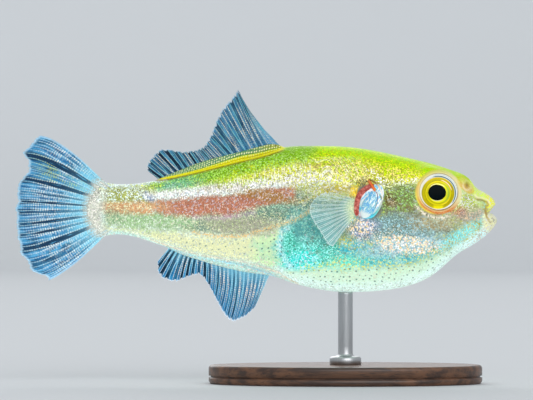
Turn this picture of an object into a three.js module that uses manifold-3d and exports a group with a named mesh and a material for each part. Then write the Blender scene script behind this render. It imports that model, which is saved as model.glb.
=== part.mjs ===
// A freshwater pufferfish of the smooth golden kind, life size, held over a small display stand.
// Millimetres. +X points to the snout and +Z up, and the fish is alike on its left (+Y) and right (-Y).
// The origin is on the floor, under the middle of the model.
import * as THREE from 'three';
import { mergeVertices } from 'three/addons/utils/BufferGeometryUtils.js';
import Module from 'manifold-3d';

const wasm = await Module();
wasm.setup();

// ---- Driving dimensions --------------------------------------------------------------------------------------

const standardLength = 75; // tip of the lower lip to the root of the tail fin
const totalLength = 91.6; // tip of the lower lip to the end of the tail fin
const axisHeight = 33; // floor to the axis of the body
const seam = 0.3; // gap between pieces that meet
const bodySides = 30; // facets round the body

// Proportions are shares of the standard length. A station s runs from the lips (0) to the root of the tail fin
// (1), and a height z counts from the axis of the body.
const mm = (share) => share * standardLength;
const stationX = (s) => totalLength / 2 - mm(s);
const heightZ = (z) => axisHeight + mm(z);

// Where the body is divided.
const jawCut = 0.047;
const neckCut = 0.352;
const ventCut = 0.84;

// ---- Curves --------------------------------------------------------------------------------------------------

// The natural cubic spline through [x, y] points.
function smoothCurve(points) {
  const last = points.length - 1;
  const x = points.map((point) => point[0]);
  const y = points.map((point) => point[1]);
  const bend = new Array(last + 1).fill(0);
  const carry = new Array(last + 1).fill(0);
  for (let i = 1; i < last; i++) {
    const share = (x[i] - x[i - 1]) / (x[i + 1] - x[i - 1]);
    const pivot = share * carry[i - 1] + 2;
    const turn = (y[i + 1] - y[i]) / (x[i + 1] - x[i]) - (y[i] - y[i - 1]) / (x[i] - x[i - 1]);
    carry[i] = (share - 1) / pivot;
    bend[i] = ((6 * turn) / (x[i + 1] - x[i - 1]) - share * bend[i - 1]) / pivot;
  }
  for (let i = last - 1; i > 0; i--) {
    bend[i] += carry[i] * bend[i + 1];
  }
  return (at) => {
    let i = 0;
    while (i < last - 1 && at > x[i + 1]) i++;
    const width = x[i + 1] - x[i];
    const a = (x[i + 1] - at) / width;
    const b = (at - x[i]) / width;
    const cubic = (a ** 3 - a) * bend[i] + (b ** 3 - b) * bend[i + 1];
    return a * y[i] + b * y[i + 1] + (cubic * width * width) / 6;
  };
}

// The same through rows of numbers, each row with the place it is reached at.
function smoothRows(rows) {
  const curves = rows[0].values.map((_, k) => smoothCurve(rows.map((row) => [row.at, row.values[k]])));
  return (at) => curves.map((curve) => curve(at));
}

// ---- The body's form -----------------------------------------------------------------------------------------

const backLine = smoothCurve([
  [0.033, 0.045], [0.055, 0.0575], [0.072, 0.0755], [0.088, 0.0888], [0.104, 0.0967], [0.154, 0.1139],
  [0.235, 0.1342], [0.316, 0.1514],
  [0.398, 0.1613], [0.473, 0.1625], [0.544, 0.1587], [0.65, 0.1291], [0.752, 0.1063], [0.853, 0.0777],
  [0.917, 0.0666], [0.96, 0.0658], [1, 0.0696],
]);
const bellyLine = smoothCurve([
  [0.033, -0.0685], [0.053, -0.0835], [0.096, -0.1085], [0.144, -0.15], [0.175, -0.172], [0.215, -0.189],
  [0.256, -0.199], [0.316, -0.2061], [0.377, -0.2084], [0.438, -0.2033], [0.478, -0.1954], [0.519, -0.1848],
  [0.58, -0.162], [0.663, -0.139], [0.752, -0.119], [0.823, -0.0992], [0.884, -0.0785], [0.924, -0.0666],
  [0.96, -0.0615], [1, -0.0668],
]);
const halfWidth = smoothCurve([
  [0.033, 0.04], [0.068, 0.0573], [0.104, 0.0733], [0.152, 0.0907], [0.195, 0.1], [0.246, 0.1067], [0.322, 0.112],
  [0.398, 0.1107], [0.473, 0.104], [0.549, 0.092], [0.701, 0.0653], [0.853, 0.04], [0.93, 0.028], [1, 0.017],
]);
const widestLine = smoothCurve([
  [0.033, 0.0025], [0.068, 0.0076], [0.152, 0.0152], [0.246, 0.005], [0.322, -0.01], [0.398, -0.0253],
  [0.473, -0.0278], [0.55, -0.0203], [0.65, -0.0076], [0.85, 0], [1, 0.001],
]);
// The power on the section's sine and cosine: under 1 it is fuller than an ellipse, over 1 leaner.
const backPower = smoothCurve([[0.033, 1], [0.15, 0.86], [0.35, 0.92], [0.6, 1.02], [1, 1.05]]);
const bellyPower = smoothCurve([[0.033, 1], [0.2, 0.88], [0.4, 0.88], [0.6, 1.02], [1, 1.05]]);
// How far the flank's middle runs behind its edges, where the body ends in an arc under the tail fin.
const endBow = (s) => 0.024 * Math.max(0, (s - 0.9) / 0.1) ** 2;

// A loop is a ring of skin: station and height on the back, on the belly and at the flank, the flank's
// distance from the middle, and the powers of the upper and lower half.
const bodyLoop = (s) => [
  s, backLine(s), s, bellyLine(s), s + endBow(s), widestLine(s), halfWidth(s), backPower(s), bellyPower(s),
];
const muzzleStart = 0.033;
const lips = { outer: 1, crest: 2, inner: 3, line: 4, throat: 5 };
const muzzleLoop = smoothRows([
  { at: -1.4, values: bodyLoop(0.068) },
  { at: 0, values: bodyLoop(muzzleStart) },
  { at: lips.outer, values: [0.0152, 0.033, 0.0114, -0.0481, 0.0253, -0.0025, 0.0341, 1, 1] },
  { at: lips.crest, values: [0.0041, 0.0165, 0, -0.0266, 0.019, -0.0051, 0.0267, 1, 1] },
  { at: lips.inner, values: [0.0114, 0.0051, 0.0089, -0.0127, 0.0241, -0.0057, 0.024, 1, 1] },
  { at: lips.line, values: [0.0208, -0.0051, 0.0208, -0.0079, 0.0291, -0.0066, 0.024, 1, 1] },
  { at: lips.throat, values: [0.0405, -0.0046, 0.0405, -0.0086, 0.0405, -0.0066, 0.0147, 1, 1] },
]);

// The point of a loop at an angle from the back, grown outwards by a distance in millimetres.
function loopPoint(loop, angle, grow) {
  const [backS, backZ, bellyS, bellyZ, flankS, flankZ, half, upper, lower] = loop;
  const cosine = Math.cos(angle);
  const sine = Math.sin(angle);
  const isBack = cosine >= 0;
  const endS = isBack ? backS : bellyS;
  const endZ = isBack ? backZ : bellyZ;
  const power = isBack ? upper : lower;
  const rise = Math.abs(cosine) ** power;
  const out = Math.sign(sine) * Math.abs(sine) ** power;
  const s = flankS + (endS - flankS) * cosine * cosine;
  const z = heightZ(flankZ + (endZ - flankZ) * rise) + (isBack ? grow : -grow) * rise;
  return new THREE.Vector3(stationX(s), (mm(half) + grow) * out, z);
}

// Half the body's breadth at a station and height, in millimetres.
function flankY(s, z) {
  const isBack = z >= widestLine(s);
  const end = isBack ? backLine(s) : bellyLine(s);
  const power = isBack ? backPower(s) : bellyPower(s);
  const rise = Math.min(1, Math.abs((z - widestLine(s)) / (end - widestLine(s))));
  return mm(halfWidth(s)) * (1 - rise ** (2 / power)) ** (power / 2);
}

// ---- Solids --------------------------------------------------------------------------------------------------

// Merges a geometry's shared corners, drops the triangles that this flattens, turns the faces outwards if the
// volume they enclose comes out negative, and makes it a solid.
function toSolid(geometry) {
  geometry.deleteAttribute('normal');
  geometry.deleteAttribute('uv');
  const merged = mergeVertices(geometry, 1e-4);
  const point = (i) => new THREE.Vector3().fromBufferAttribute(merged.attributes.position, i);
  const corners = merged.index.array;
  const kept = [];
  let volume = 0;
  for (let i = 0; i < corners.length; i += 3) {
    const [a, b, c] = corners.slice(i, i + 3);
    if (a === b || b === c || c === a) continue;
    kept.push([a, b, c]);
    volume += point(a).dot(point(b).cross(point(c))) / 6;
  }
  if (volume < 0) kept.forEach((triangle) => triangle.reverse());
  const triVerts = new Uint32Array(kept.flat());
  return new wasm.Manifold(
    new wasm.Mesh({ numProp: 3, vertProperties: merged.attributes.position.array, triVerts }),
  );
}

function toGeometry(solid) {
  const mesh = solid.getMesh();
  const geometry = new THREE.BufferGeometry();
  geometry.setAttribute('position', new THREE.BufferAttribute(mesh.vertProperties, 3));
  geometry.setIndex(new THREE.BufferAttribute(mesh.triVerts, 1));
  geometry.computeVertexNormals();
  return geometry;
}

function indexedGeometry(points, corners) {
  const geometry = new THREE.BufferGeometry();
  geometry.setAttribute('position', new THREE.Float32BufferAttribute(points.flatMap((p) => [p.x, p.y, p.z]), 3));
  geometry.setIndex(corners);
  return geometry;
}

// A closed skin over rings of the same number of points, each end shrunk to a point or pressed to an edge.
function skinOver(rings) {
  const sides = rings[0].length;
  const corners = [];
  for (let i = 0; i < rings.length - 1; i++) {
    for (let k = 0; k < sides; k++) {
      const a = i * sides + k;
      const b = i * sides + ((k + 1) % sides);
      corners.push(a, b, b + sides, a, b + sides, a + sides);
    }
  }
  return toSolid(indexedGeometry(rings.flat(), corners));
}

// A sheet with two faces and a rim, from a grid of middle points, each with half a thickness along a direction.
function platedSheet(columns, rows, pointAt) {
  const faces = [[], []];
  for (let i = 0; i <= columns; i++) {
    for (let j = 0; j <= rows; j++) {
      const { middle, across } = pointAt(i, j);
      faces[0].push(middle.clone().add(across));
      faces[1].push(middle.clone().sub(across));
    }
  }
  const shift = faces[0].length;
  const at = (i, j) => i * (rows + 1) + j;
  const corners = [];
  const quad = (a, b, c, d) => corners.push(a, b, c, a, c, d);
  for (let i = 0; i < columns; i++) {
    for (let j = 0; j < rows; j++) {
      quad(at(i, j), at(i, j + 1), at(i + 1, j + 1), at(i + 1, j));
      quad(at(i, j) + shift, at(i + 1, j) + shift, at(i + 1, j + 1) + shift, at(i, j + 1) + shift);
    }
    quad(at(i, 0), at(i + 1, 0), at(i + 1, 0) + shift, at(i, 0) + shift);
    quad(at(i, rows), at(i, rows) + shift, at(i + 1, rows) + shift, at(i + 1, rows));
  }
  for (let j = 0; j < rows; j++) {
    quad(at(0, j), at(0, j) + shift, at(0, j + 1) + shift, at(0, j + 1));
    quad(at(columns, j), at(columns, j + 1), at(columns, j + 1) + shift, at(columns, j) + shift);
  }
  return toSolid(indexedGeometry(faces.flat(), corners));
}

// A ball with its poles on the Y axis, stretched to three half sizes in millimetres.
function ball(at, half, sides, bands) {
  const geometry = new THREE.SphereGeometry(1, sides, bands);
  geometry.scale(half[0], half[1], half[2]);
  geometry.translate(stationX(at.s), at.y, heightZ(at.z));
  return toSolid(geometry);
}

// The whole space between two stations, and optionally between two heights.
function between(sFrom, sTo, zFrom = -1, zTo = 1) {
  const size = new THREE.Vector3(mm(sTo - sFrom), standardLength, mm(zTo - zFrom));
  const geometry = new THREE.BoxGeometry(size.x, size.y, size.z);
  geometry.translate(stationX((sFrom + sTo) / 2), 0, heightZ((zFrom + zTo) / 2));
  return toSolid(geometry);
}

// ---- The body ------------------------------------------------------------------------------------------------

// Stations crowd towards the head, where the outline turns most.
const bodyRings = 28;
const bodyStation = (i) => muzzleStart + (1 - muzzleStart) * (i / bodyRings) ** 1.1;
const muzzleSteps = [5, 4, 3.4, 2.8, 2.3, 1.9, 1.4, 0.8, 0.4];

function bodySolid(grow) {
  const angles = Array.from({ length: bodySides }, (_, k) => (2 * Math.PI * k) / bodySides);
  const ringOf = (loop) => angles.map((angle) => loopPoint(loop, angle, grow));
  const rings = [];
  const throatEnd = new THREE.Vector3(stationX(0.0468), 0, heightZ(-0.0066));
  rings.push(angles.map(() => throatEnd));
  for (const step of muzzleSteps) {
    rings.push(angles.map((angle) => loopPoint(muzzleLoop(step), angle, step > lips.crest ? 0 : grow)));
  }
  for (let i = 0; i <= bodyRings; i++) rings.push(ringOf(bodyLoop(bodyStation(i))));
  const end = bodyLoop(1);
  const edge = [1.006, end[1] - 0.004, 1.006, end[3] + 0.004, 1.036, end[5], 0, 1, 1];
  rings.push(angles.map((angle) => loopPoint(edge, angle, 0).setY(0)));
  return skinOver(rings);
}

// ---- Eyes, nostrils and gills --------------------------------------------------------------------------------

const eye = { s: 0.1506, z: 0.0441, y: 4.95, half: [4.15, 2.9, 3.95] };
const pupil = { y: 7.35, half: [1.62, 0.8, 1.45] };
const orbit = { y: 3.8, half: [4.9, 3.45, 4.65] };
const nostril = { s: 0.0823, z: 0.064, y: 3.4, half: [1.9, 1.25, 1.85] };
const gill = { s: 0.329, z: 0.0284, half: [2.1, 1.5, 3.8], lean: 0.25, sink: 0.9 };

const grown = (half, by) => half.map((size) => size + by);

function eyeBall(side, by) {
  return ball({ s: eye.s, z: eye.z, y: side * eye.y }, grown(eye.half, by), 18, 9);
}

function pupilBall(side, by) {
  return ball({ s: eye.s, z: eye.z, y: side * pupil.y }, grown(pupil.half, by), 14, 6);
}

function orbitBall(side) {
  return ball({ s: eye.s, z: eye.z, y: side * orbit.y }, orbit.half, 18, 7);
}

function nostrilBall(side) {
  return ball({ s: nostril.s, z: nostril.z, y: side * nostril.y }, nostril.half, 10, 6);
}

// The leaning oval slit of a gill, filled by the flap that closes it.
function gillBall(side, by, sink) {
  const geometry = new THREE.SphereGeometry(1, 12, 7);
  geometry.scale(...grown(gill.half, by));
  geometry.rotateY(gill.lean);
  const y = flankY(gill.s, gill.z) - sink;
  geometry.translate(stationX(gill.s), side * y, heightZ(gill.z));
  return toSolid(geometry);
}

// ---- Fins ----------------------------------------------------------------------------------------------------

// A fin is a fan of rays. Its root and tip are curves of c, which runs from its first ray (0) to its last (1).
// Every other column of the sheet is a ray: a little thicker, and standing out of the edge by a scallop.
function raySheet({ rays, levels, root, tip, thick, scallop, bow = () => 0, place }) {
  const columns = 2 * rays;
  return platedSheet(columns, levels.length - 1, (i, j) => {
    const c = i / columns;
    const isRay = i % 2 === 1;
    const u = levels[j] * (isRay || levels[j] === 0 ? 1 : 1 - scallop);
    const a = root(c);
    const b = tip(c);
    const sidestep = bow(c) * Math.sin(Math.PI * u);
    const s = a[0] + (b[0] - a[0]) * u - (b[1] - a[1]) * sidestep;
    const z = a[1] + (b[1] - a[1]) * u + (b[0] - a[0]) * sidestep;
    const half = thick(u) * (isRay ? 1 : 0.78);
    return place(s, z, u, half);
  });
}

// Fins of the middle line stand upright in the plane y = 0.
const inMiddle = (s, z, u, half) => ({
  middle: new THREE.Vector3(stationX(s), 0, heightZ(z)),
  across: new THREE.Vector3(0, half, 0),
});

const curvePair = (rows) => smoothRows(rows.map(([at, ...values]) => ({ at, values })));

function dorsalFin() {
  const tip = curvePair([
    [0, 0.6582, 0.3013], [0.17, 0.6709, 0.2894], [0.31, 0.7025, 0.243], [0.43, 0.7228, 0.2025],
    [0.55, 0.7418, 0.1696], [0.64, 0.762, 0.153], [0.73, 0.79, 0.149], [0.82, 0.82, 0.1535],
    [0.9, 0.849, 0.153], [0.95, 0.871, 0.138], [1, 0.8861, 0.1089],
  ]);
  const root = (c) => {
    const s = 0.548 + 0.307 * c;
    return [s, backLine(s) - 0.012];
  };
  const thick = (u) => (u < 0.1 ? 0.85 : 0.46 - 0.12 * u);
  return raySheet({ rays: 24, levels: [0, 0.1, 0.19, 1], root, tip, thick, scallop: 0.03, place: inMiddle });
}

function analFin() {
  const tip = curvePair([
    [0, 0.6203, -0.2532], [0.1, 0.6354, -0.2684], [0.2, 0.6557, -0.2785], [0.3, 0.6734, -0.2835],
    [0.4, 0.6962, -0.2582], [0.5, 0.7177, -0.2152], [0.6, 0.7316, -0.1797], [0.68, 0.7532, -0.1615],
    [0.78, 0.7848, -0.1709], [0.87, 0.8203, -0.1823], [0.94, 0.8506, -0.1696], [1, 0.8608, -0.1342],
  ]);
  const root = (c) => {
    const s = 0.572 + 0.252 * c;
    return [s, bellyLine(s) + 0.012];
  };
  const thick = (u) => (u < 0.1 ? 0.85 : 0.46 - 0.12 * u);
  return raySheet({ rays: 22, levels: [0, 0.12, 0.22, 1], root, tip, thick, scallop: 0.03, place: inMiddle });
}

// The tail fin spreads like a hand fan about a point inside the tail.
const fan = { s: 0.9023, z: 0.0025, spread: 36.3, root: 0.088 };

function tailFin() {
  const reach = smoothCurve([
    [-1, 0.2954], [-0.85, 0.311], [-0.6, 0.3235], [-0.36, 0.323], [0, 0.3185], [0.28, 0.3167], [0.4, 0.311],
    [0.52, 0.2995], [0.63, 0.307], [0.71, 0.331], [0.86, 0.3225], [1, 0.3157],
  ]);
  const onFan = (turn, radius) => {
    const angle = THREE.MathUtils.degToRad(turn * fan.spread);
    return [fan.s + radius * Math.cos(angle), fan.z + radius * Math.sin(angle)];
  };
  const root = (c) => onFan(1 - 2 * c, fan.root);
  const tip = (c) => onFan(1 - 2 * c, reach(1 - 2 * c));
  const bow = (c) => 0.042 * (1 - 2 * c);
  const thick = (u) => 0.62 - 0.28 * Math.min(1, u * 1.4);
  const levels = [0, 0.2, 0.6, 1];
  return raySheet({ rays: 22, levels, root, tip, thick, scallop: 0.035, bow, place: inMiddle });
}

// A pectoral fin grows from the flank behind the gill and stands off it towards the tail.
const pectoral = { flare: 0.42, sink: 0.1 };

function pectoralFin(side) {
  const tip = curvePair([
    [0, 0.443, 0.0405], [0.2, 0.4709, 0.0177], [0.4, 0.4734, -0.0101], [0.6, 0.4582, -0.0405],
    [0.8, 0.4405, -0.0684], [1, 0.4203, -0.0911],
  ]);
  const root = (c) => [0.3633 + 0.0038 * c, 0.024 - 0.0392 * c];
  const thick = (u) => 0.42 - 0.08 * u;
  const tilt = Math.atan(pectoral.flare);
  const place = (s, z, u, half) => {
    const out = flankY(0.365, 0.0045) - pectoral.sink + mm(s - 0.365) * pectoral.flare * (0.7 + 0.3 * u);
    const across = new THREE.Vector3(Math.sin(tilt), Math.cos(tilt) * side, 0);
    return {
      middle: new THREE.Vector3(stationX(s), side * out, heightZ(z)),
      across: across.multiplyScalar(half * side),
    };
  };
  return raySheet({ rays: 12, levels: [0, 0.5, 1], root, tip, thick, scallop: 0.02, place });
}

// ---- The stand -----------------------------------------------------------------------------------------------

const stand = {
  x: 17, length: 52, width: 30, height: 3.6, bevel: 0.7, rod: 1.4, collar: 3, collarHeight: 1.3,
};

function turned(profile, sides) {
  const geometry = new THREE.LatheGeometry(profile.map(([r, z]) => new THREE.Vector2(r, z)), sides);
  geometry.rotateX(Math.PI / 2);
  return geometry;
}

function standBase() {
  const half = stand.width / 2;
  const profile = [
    [0, 0], [half - 0.4, 0], [half, 0.4], [half, stand.height - stand.bevel], [half - stand.bevel, stand.height],
    [0, stand.height],
  ];
  const geometry = turned(profile, 40);
  geometry.scale(stand.length / stand.width, 1, 1);
  geometry.translate(stand.x, 0, 0);
  return toSolid(geometry);
}

function standRod(body) {
  const foot = stand.height + seam;
  const top = axisHeight - mm(0.17);
  const profile = [
    [0, foot], [stand.collar, foot], [stand.collar, foot + stand.collarHeight / 2],
    [stand.rod + 0.3, foot + stand.collarHeight], [stand.rod, foot + stand.collarHeight], [stand.rod, top], [0, top],
  ];
  const geometry = turned(profile, 16);
  geometry.translate(stand.x, 0, 0);
  return toSolid(geometry).subtract(body);
}

// ---- Assembly ------------------------------------------------------------------------------------------------

const finishes = {
  skin: new THREE.MeshStandardMaterial({ color: 0xc6cf7a, roughness: 0.35 }),
  fin: new THREE.MeshStandardMaterial({ color: 0x7fb0c8, roughness: 0.35 }),
  iris: new THREE.MeshStandardMaterial({ color: 0xc9bc22, roughness: 0.15 }),
  pupil: new THREE.MeshStandardMaterial({ color: 0x060c0e, roughness: 0.08 }),
  gill: new THREE.MeshStandardMaterial({ color: 0xb8574a, roughness: 0.3 }),
  wood: new THREE.MeshStandardMaterial({ color: 0x3a2418, roughness: 0.4 }),
  steel: new THREE.MeshStandardMaterial({ color: 0xb9bcc0, roughness: 0.3, metalness: 1 }),
};

const puffer = new THREE.Group();

function addPiece(name, solid, finish) {
  const mesh = new THREE.Mesh(toGeometry(solid), finishes[finish]);
  mesh.name = name;
  puffer.add(mesh);
}

const sides = [['left', 1], ['right', -1]];
const clearBody = bodySolid(seam);
const gap = seam / standardLength / 2;

// One skin, with the brows and nostrils raised on it and the sockets cut into it.
let whole = bodySolid(0);
for (const [, side] of sides) {
  whole = whole.add(orbitBall(side)).add(nostrilBall(side));
}
for (const [, side] of sides) {
  whole = whole.subtract(eyeBall(side, seam)).subtract(gillBall(side, 0, gill.sink));
}

const mouthHeight = -0.0066;
addPiece('upper_jaw', whole.intersect(between(-0.1, jawCut - gap, mouthHeight + gap, 0.5)), 'skin');
addPiece('lower_jaw', whole.intersect(between(-0.1, jawCut - gap, -0.5, mouthHeight - gap)), 'skin');
addPiece('head', whole.intersect(between(jawCut + gap, neckCut - gap)), 'skin');
addPiece('trunk', whole.intersect(between(neckCut + gap, ventCut - gap)), 'skin');
addPiece('tail_stalk', whole.intersect(between(ventCut + gap, 1.2)), 'skin');

addPiece('dorsal_fin', dorsalFin().subtract(clearBody), 'fin');
addPiece('anal_fin', analFin().subtract(clearBody), 'fin');
addPiece('tail_fin', tailFin().subtract(clearBody), 'fin');
for (const [label, side] of sides) {
  addPiece(`pectoral_fin_${label}`, pectoralFin(side).subtract(clearBody), 'fin');
  addPiece(`eye_${label}`, eyeBall(side, 0).subtract(pupilBall(side, seam / 2)), 'iris');
  addPiece(`pupil_${label}`, pupilBall(side, 0), 'pupil');
  addPiece(`gill_${label}`, gillBall(side, -seam, gill.sink), 'gill');
}

addPiece('stand_base', standBase(), 'wood');
addPiece('stand_rod', standRod(clearBody), 'steel');

export default puffer;
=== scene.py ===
import math

import bpy
import numpy as np
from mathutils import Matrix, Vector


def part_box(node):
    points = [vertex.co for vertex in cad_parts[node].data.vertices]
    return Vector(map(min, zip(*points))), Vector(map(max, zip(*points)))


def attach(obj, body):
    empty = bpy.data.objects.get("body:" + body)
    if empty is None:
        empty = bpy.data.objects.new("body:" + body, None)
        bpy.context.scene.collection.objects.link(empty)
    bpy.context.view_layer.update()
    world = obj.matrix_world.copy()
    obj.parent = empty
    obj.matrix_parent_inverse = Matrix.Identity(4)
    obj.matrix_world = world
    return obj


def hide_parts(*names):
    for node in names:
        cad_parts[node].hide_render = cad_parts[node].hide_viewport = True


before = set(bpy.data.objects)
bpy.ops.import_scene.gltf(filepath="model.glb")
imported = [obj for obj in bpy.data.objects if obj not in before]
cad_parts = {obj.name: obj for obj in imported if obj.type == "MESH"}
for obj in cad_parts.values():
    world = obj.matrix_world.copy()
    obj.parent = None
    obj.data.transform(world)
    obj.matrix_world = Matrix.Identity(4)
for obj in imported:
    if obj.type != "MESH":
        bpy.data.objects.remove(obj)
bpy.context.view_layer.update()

mmToM = 0.001

# Where the fish lies in the frame. Its parts are measured in shares of its standard length, from the lips
# to the root of the tail fin: s runs back from the lips, z up from the body's axis.
fish = {
    "lipX": float(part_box("lower_jaw")[1][0]),
    "tailX": float(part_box("tail_fin")[0][0]),
    "standardShare": 0.8188,  # standard length over total length
    "eyeHeight": 0.0441,  # the eye's middle over the axis
}
fish["length"] = (fish["lipX"] - fish["tailX"]) * fish["standardShare"]
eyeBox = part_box("eye_right")
fish["axisZ"] = float(eyeBox[0][2] + eyeBox[1][2]) / 2 - fish["eyeHeight"] * fish["length"]
lengthMm = fish["length"] / mmToM
print(f"fish: {lengthMm:.1f} mm from lips to tail root, axis {fish['axisZ'] / mmToM:.1f} mm over the floor")


def mm(share):
    return share * lengthMm


def srgb(*channels):  # screen colour, 0 to 255, as the linear one that shaders reckon in
    c = np.array(channels, float) / 255
    linear = np.where(c <= 0.04045, c / 12.92, ((c + 0.055) / 1.055) ** 2.4)
    return (*linear, 1.0)


def easeIn(x, start, stop):  # 0 before start, 1 after stop, 3t^2 - 2t^3 between
    t = np.clip((x - start) / (stop - start), 0, 1)
    return t * t * (3 - 2 * t)


def hump(x, width):  # exp(-(x / width)^2)
    return np.exp(-((x / width) ** 2))


# Natural cubic spline: y = a y0 + b y1 + ((a^3 - a) m0 + (b^3 - b) m1) w^2 / 6 on a stretch of width w,
# where a and b are the shares of the stretch ahead and behind, and m are the bends that make it smooth.
def smoothCurve(points):
    x, *ys = np.array(points, float).T
    y = np.stack(ys, axis=-1)
    count = len(x)
    system = np.eye(count)
    load = np.zeros_like(y)
    width = np.diff(x)
    for i in range(1, count - 1):
        system[i, i - 1:i + 2] = width[i - 1], 2 * (width[i - 1] + width[i]), width[i]
        load[i] = 6 * ((y[i + 1] - y[i]) / width[i] - (y[i] - y[i - 1]) / width[i - 1])
    bend = np.linalg.solve(system, load)

    def curve(at):
        at = np.asarray(at, float)
        i = np.clip(np.searchsorted(x, at) - 1, 0, count - 2)
        w = width[i][..., None]
        a = ((x[i + 1] - at) / width[i])[..., None]
        b = 1 - a
        out = a * y[i] + b * y[i + 1] + ((a ** 3 - a) * bend[i] + (b ** 3 - b) * bend[i + 1]) * w * w / 6
        return out[..., 0] if y.shape[1] == 1 else out

    return curve


# Corners of the quads between neighbouring points of a grid, and of the same quads in a map that has its
# own last column. Around, the last column joins the first.
def gridQuads(rows, columns):
    i, k = (index.ravel() for index in np.mgrid[0:rows - 1, 0:columns])
    near, far = i * columns + k, i * columns + (k + 1) % columns
    place = i * (columns + 1) + k
    mapped = np.column_stack([place, place + 1, place + columns + 2, place + columns + 1])
    return np.column_stack([near, far, far + columns, near + columns]), mapped


# Six times the volume that the faces enclose is the sum of a . (b x c): below 0 they face inwards.
def facesInwards(points, quads):
    a, b, c, d = (points[quads[:, n]] for n in range(4))
    return np.sum(a * np.cross(b, c)) + np.sum(a * np.cross(c, d)) < 0


# Puts points (mm behind the lips, mm to the left, mm over the axis) and their faces into a mesh piece.
# faces is a list of arrays of corners, quads first, and each map gives the same corners' places.
def addPiece(name, points, faces, maps, fields, local=True):
    if local:
        points = points * [-mmToM, mmToM, mmToM] + [fish["lipX"], 0, fish["axisZ"]]
    if facesInwards(points, faces[0]):
        faces = [f[:, ::-1] for f in faces]
        maps = {key: [m[:, ::-1] for m in value] for key, value in maps.items()}
    mesh = bpy.data.meshes.new(name)
    corners = np.concatenate([f.ravel() for f in faces])
    sizes = np.concatenate([np.full(len(f), f.shape[1]) for f in faces])
    mesh.vertices.add(len(points))
    mesh.vertices.foreach_set("co", points.astype(np.float32).ravel())
    mesh.loops.add(len(corners))
    mesh.loops.foreach_set("vertex_index", corners.astype(np.int32))
    mesh.polygons.add(len(sizes))
    mesh.polygons.foreach_set("loop_start", (np.cumsum(sizes) - sizes).astype(np.int32))
    for key, value in maps.items():
        places = np.concatenate([m.reshape(-1, 2) for m in value]).astype(np.float32)
        mesh.uv_layers.new(name=key).data.foreach_set("uv", places.ravel())
    for key, value in fields.items():
        values = value.astype(np.float32).ravel()
        mesh.attributes.new(key, "FLOAT", "POINT").data.foreach_set("value", values)
    mesh.update(calc_edges=True)
    mesh.validate()
    mesh.polygons.foreach_set("use_smooth", np.full(len(sizes), True))
    piece = bpy.data.objects.new(name, mesh)
    bpy.context.scene.collection.objects.link(piece)
    return piece


# A tube, bowl or ball over a grid of rings. Its first and last ring close on a point each, where one is
# given.
def ringPiece(name, rings, caps, local=True, extraMaps=None, fields=None):
    rows, columns = rings.shape[:2]
    quads, mapped = gridQuads(rows, columns)
    across, along = np.meshgrid(np.linspace(0.01, 0.99, columns + 1), np.linspace(0.02, 0.98, rows))
    places = {"OFBake": np.stack([along, across], -1).reshape(-1, 2), **(extraMaps or {})}
    fields = fields or {}
    points = rings.reshape(-1, 3)
    faces = [quads]
    maps = {key: [place[mapped]] for key, place in places.items()}
    k = np.arange(columns)
    for cap, row, order in zip(caps, (0, rows - 1), (-1, 1)):
        if cap is None:
            continue
        nextK = (k + 1) % columns
        fan = np.column_stack([row * columns + k, row * columns + nextK, np.full(columns, len(points))])
        faces.append(fan[:, ::order])
        first = row * (columns + 1) + k
        for key, place in places.items():
            ends = place[np.column_stack([first, first + 1])]
            tip = ends.mean(axis=1, keepdims=True) + [0.01 * order, 0]
            maps[key].append(np.concatenate([ends, tip], axis=1)[:, ::order])
        points = np.vstack([points, cap])
        ring = slice(row * columns, (row + 1) * columns)
        fields = {key: np.append(value, value.ravel()[ring].mean()) for key, value in fields.items()}
    return addPiece(name, points, faces, maps, fields, local)


def circle(count):
    return np.arange(count) / count * 2 * np.pi


def operators(operation):  # the plain and the reflected operator that add one Math node
    return (lambda self, other: self.paint.maths(operation, self, other),
            lambda self, other: self.paint.maths(operation, other, self))


class Signal:  # a socket that can be reckoned with
    __add__, __radd__ = operators("ADD")
    __sub__, __rsub__ = operators("SUBTRACT")
    __mul__, __rmul__ = operators("MULTIPLY")
    __truediv__, __rtruediv__ = operators("DIVIDE")
    __gt__, __lt__ = operators("GREATER_THAN")

    def __init__(self, paint, socket):
        self.paint, self.socket = paint, socket

    def __neg__(self):
        return self * -1

    def __abs__(self):
        return self.paint.maths("ABSOLUTE", self)


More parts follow.
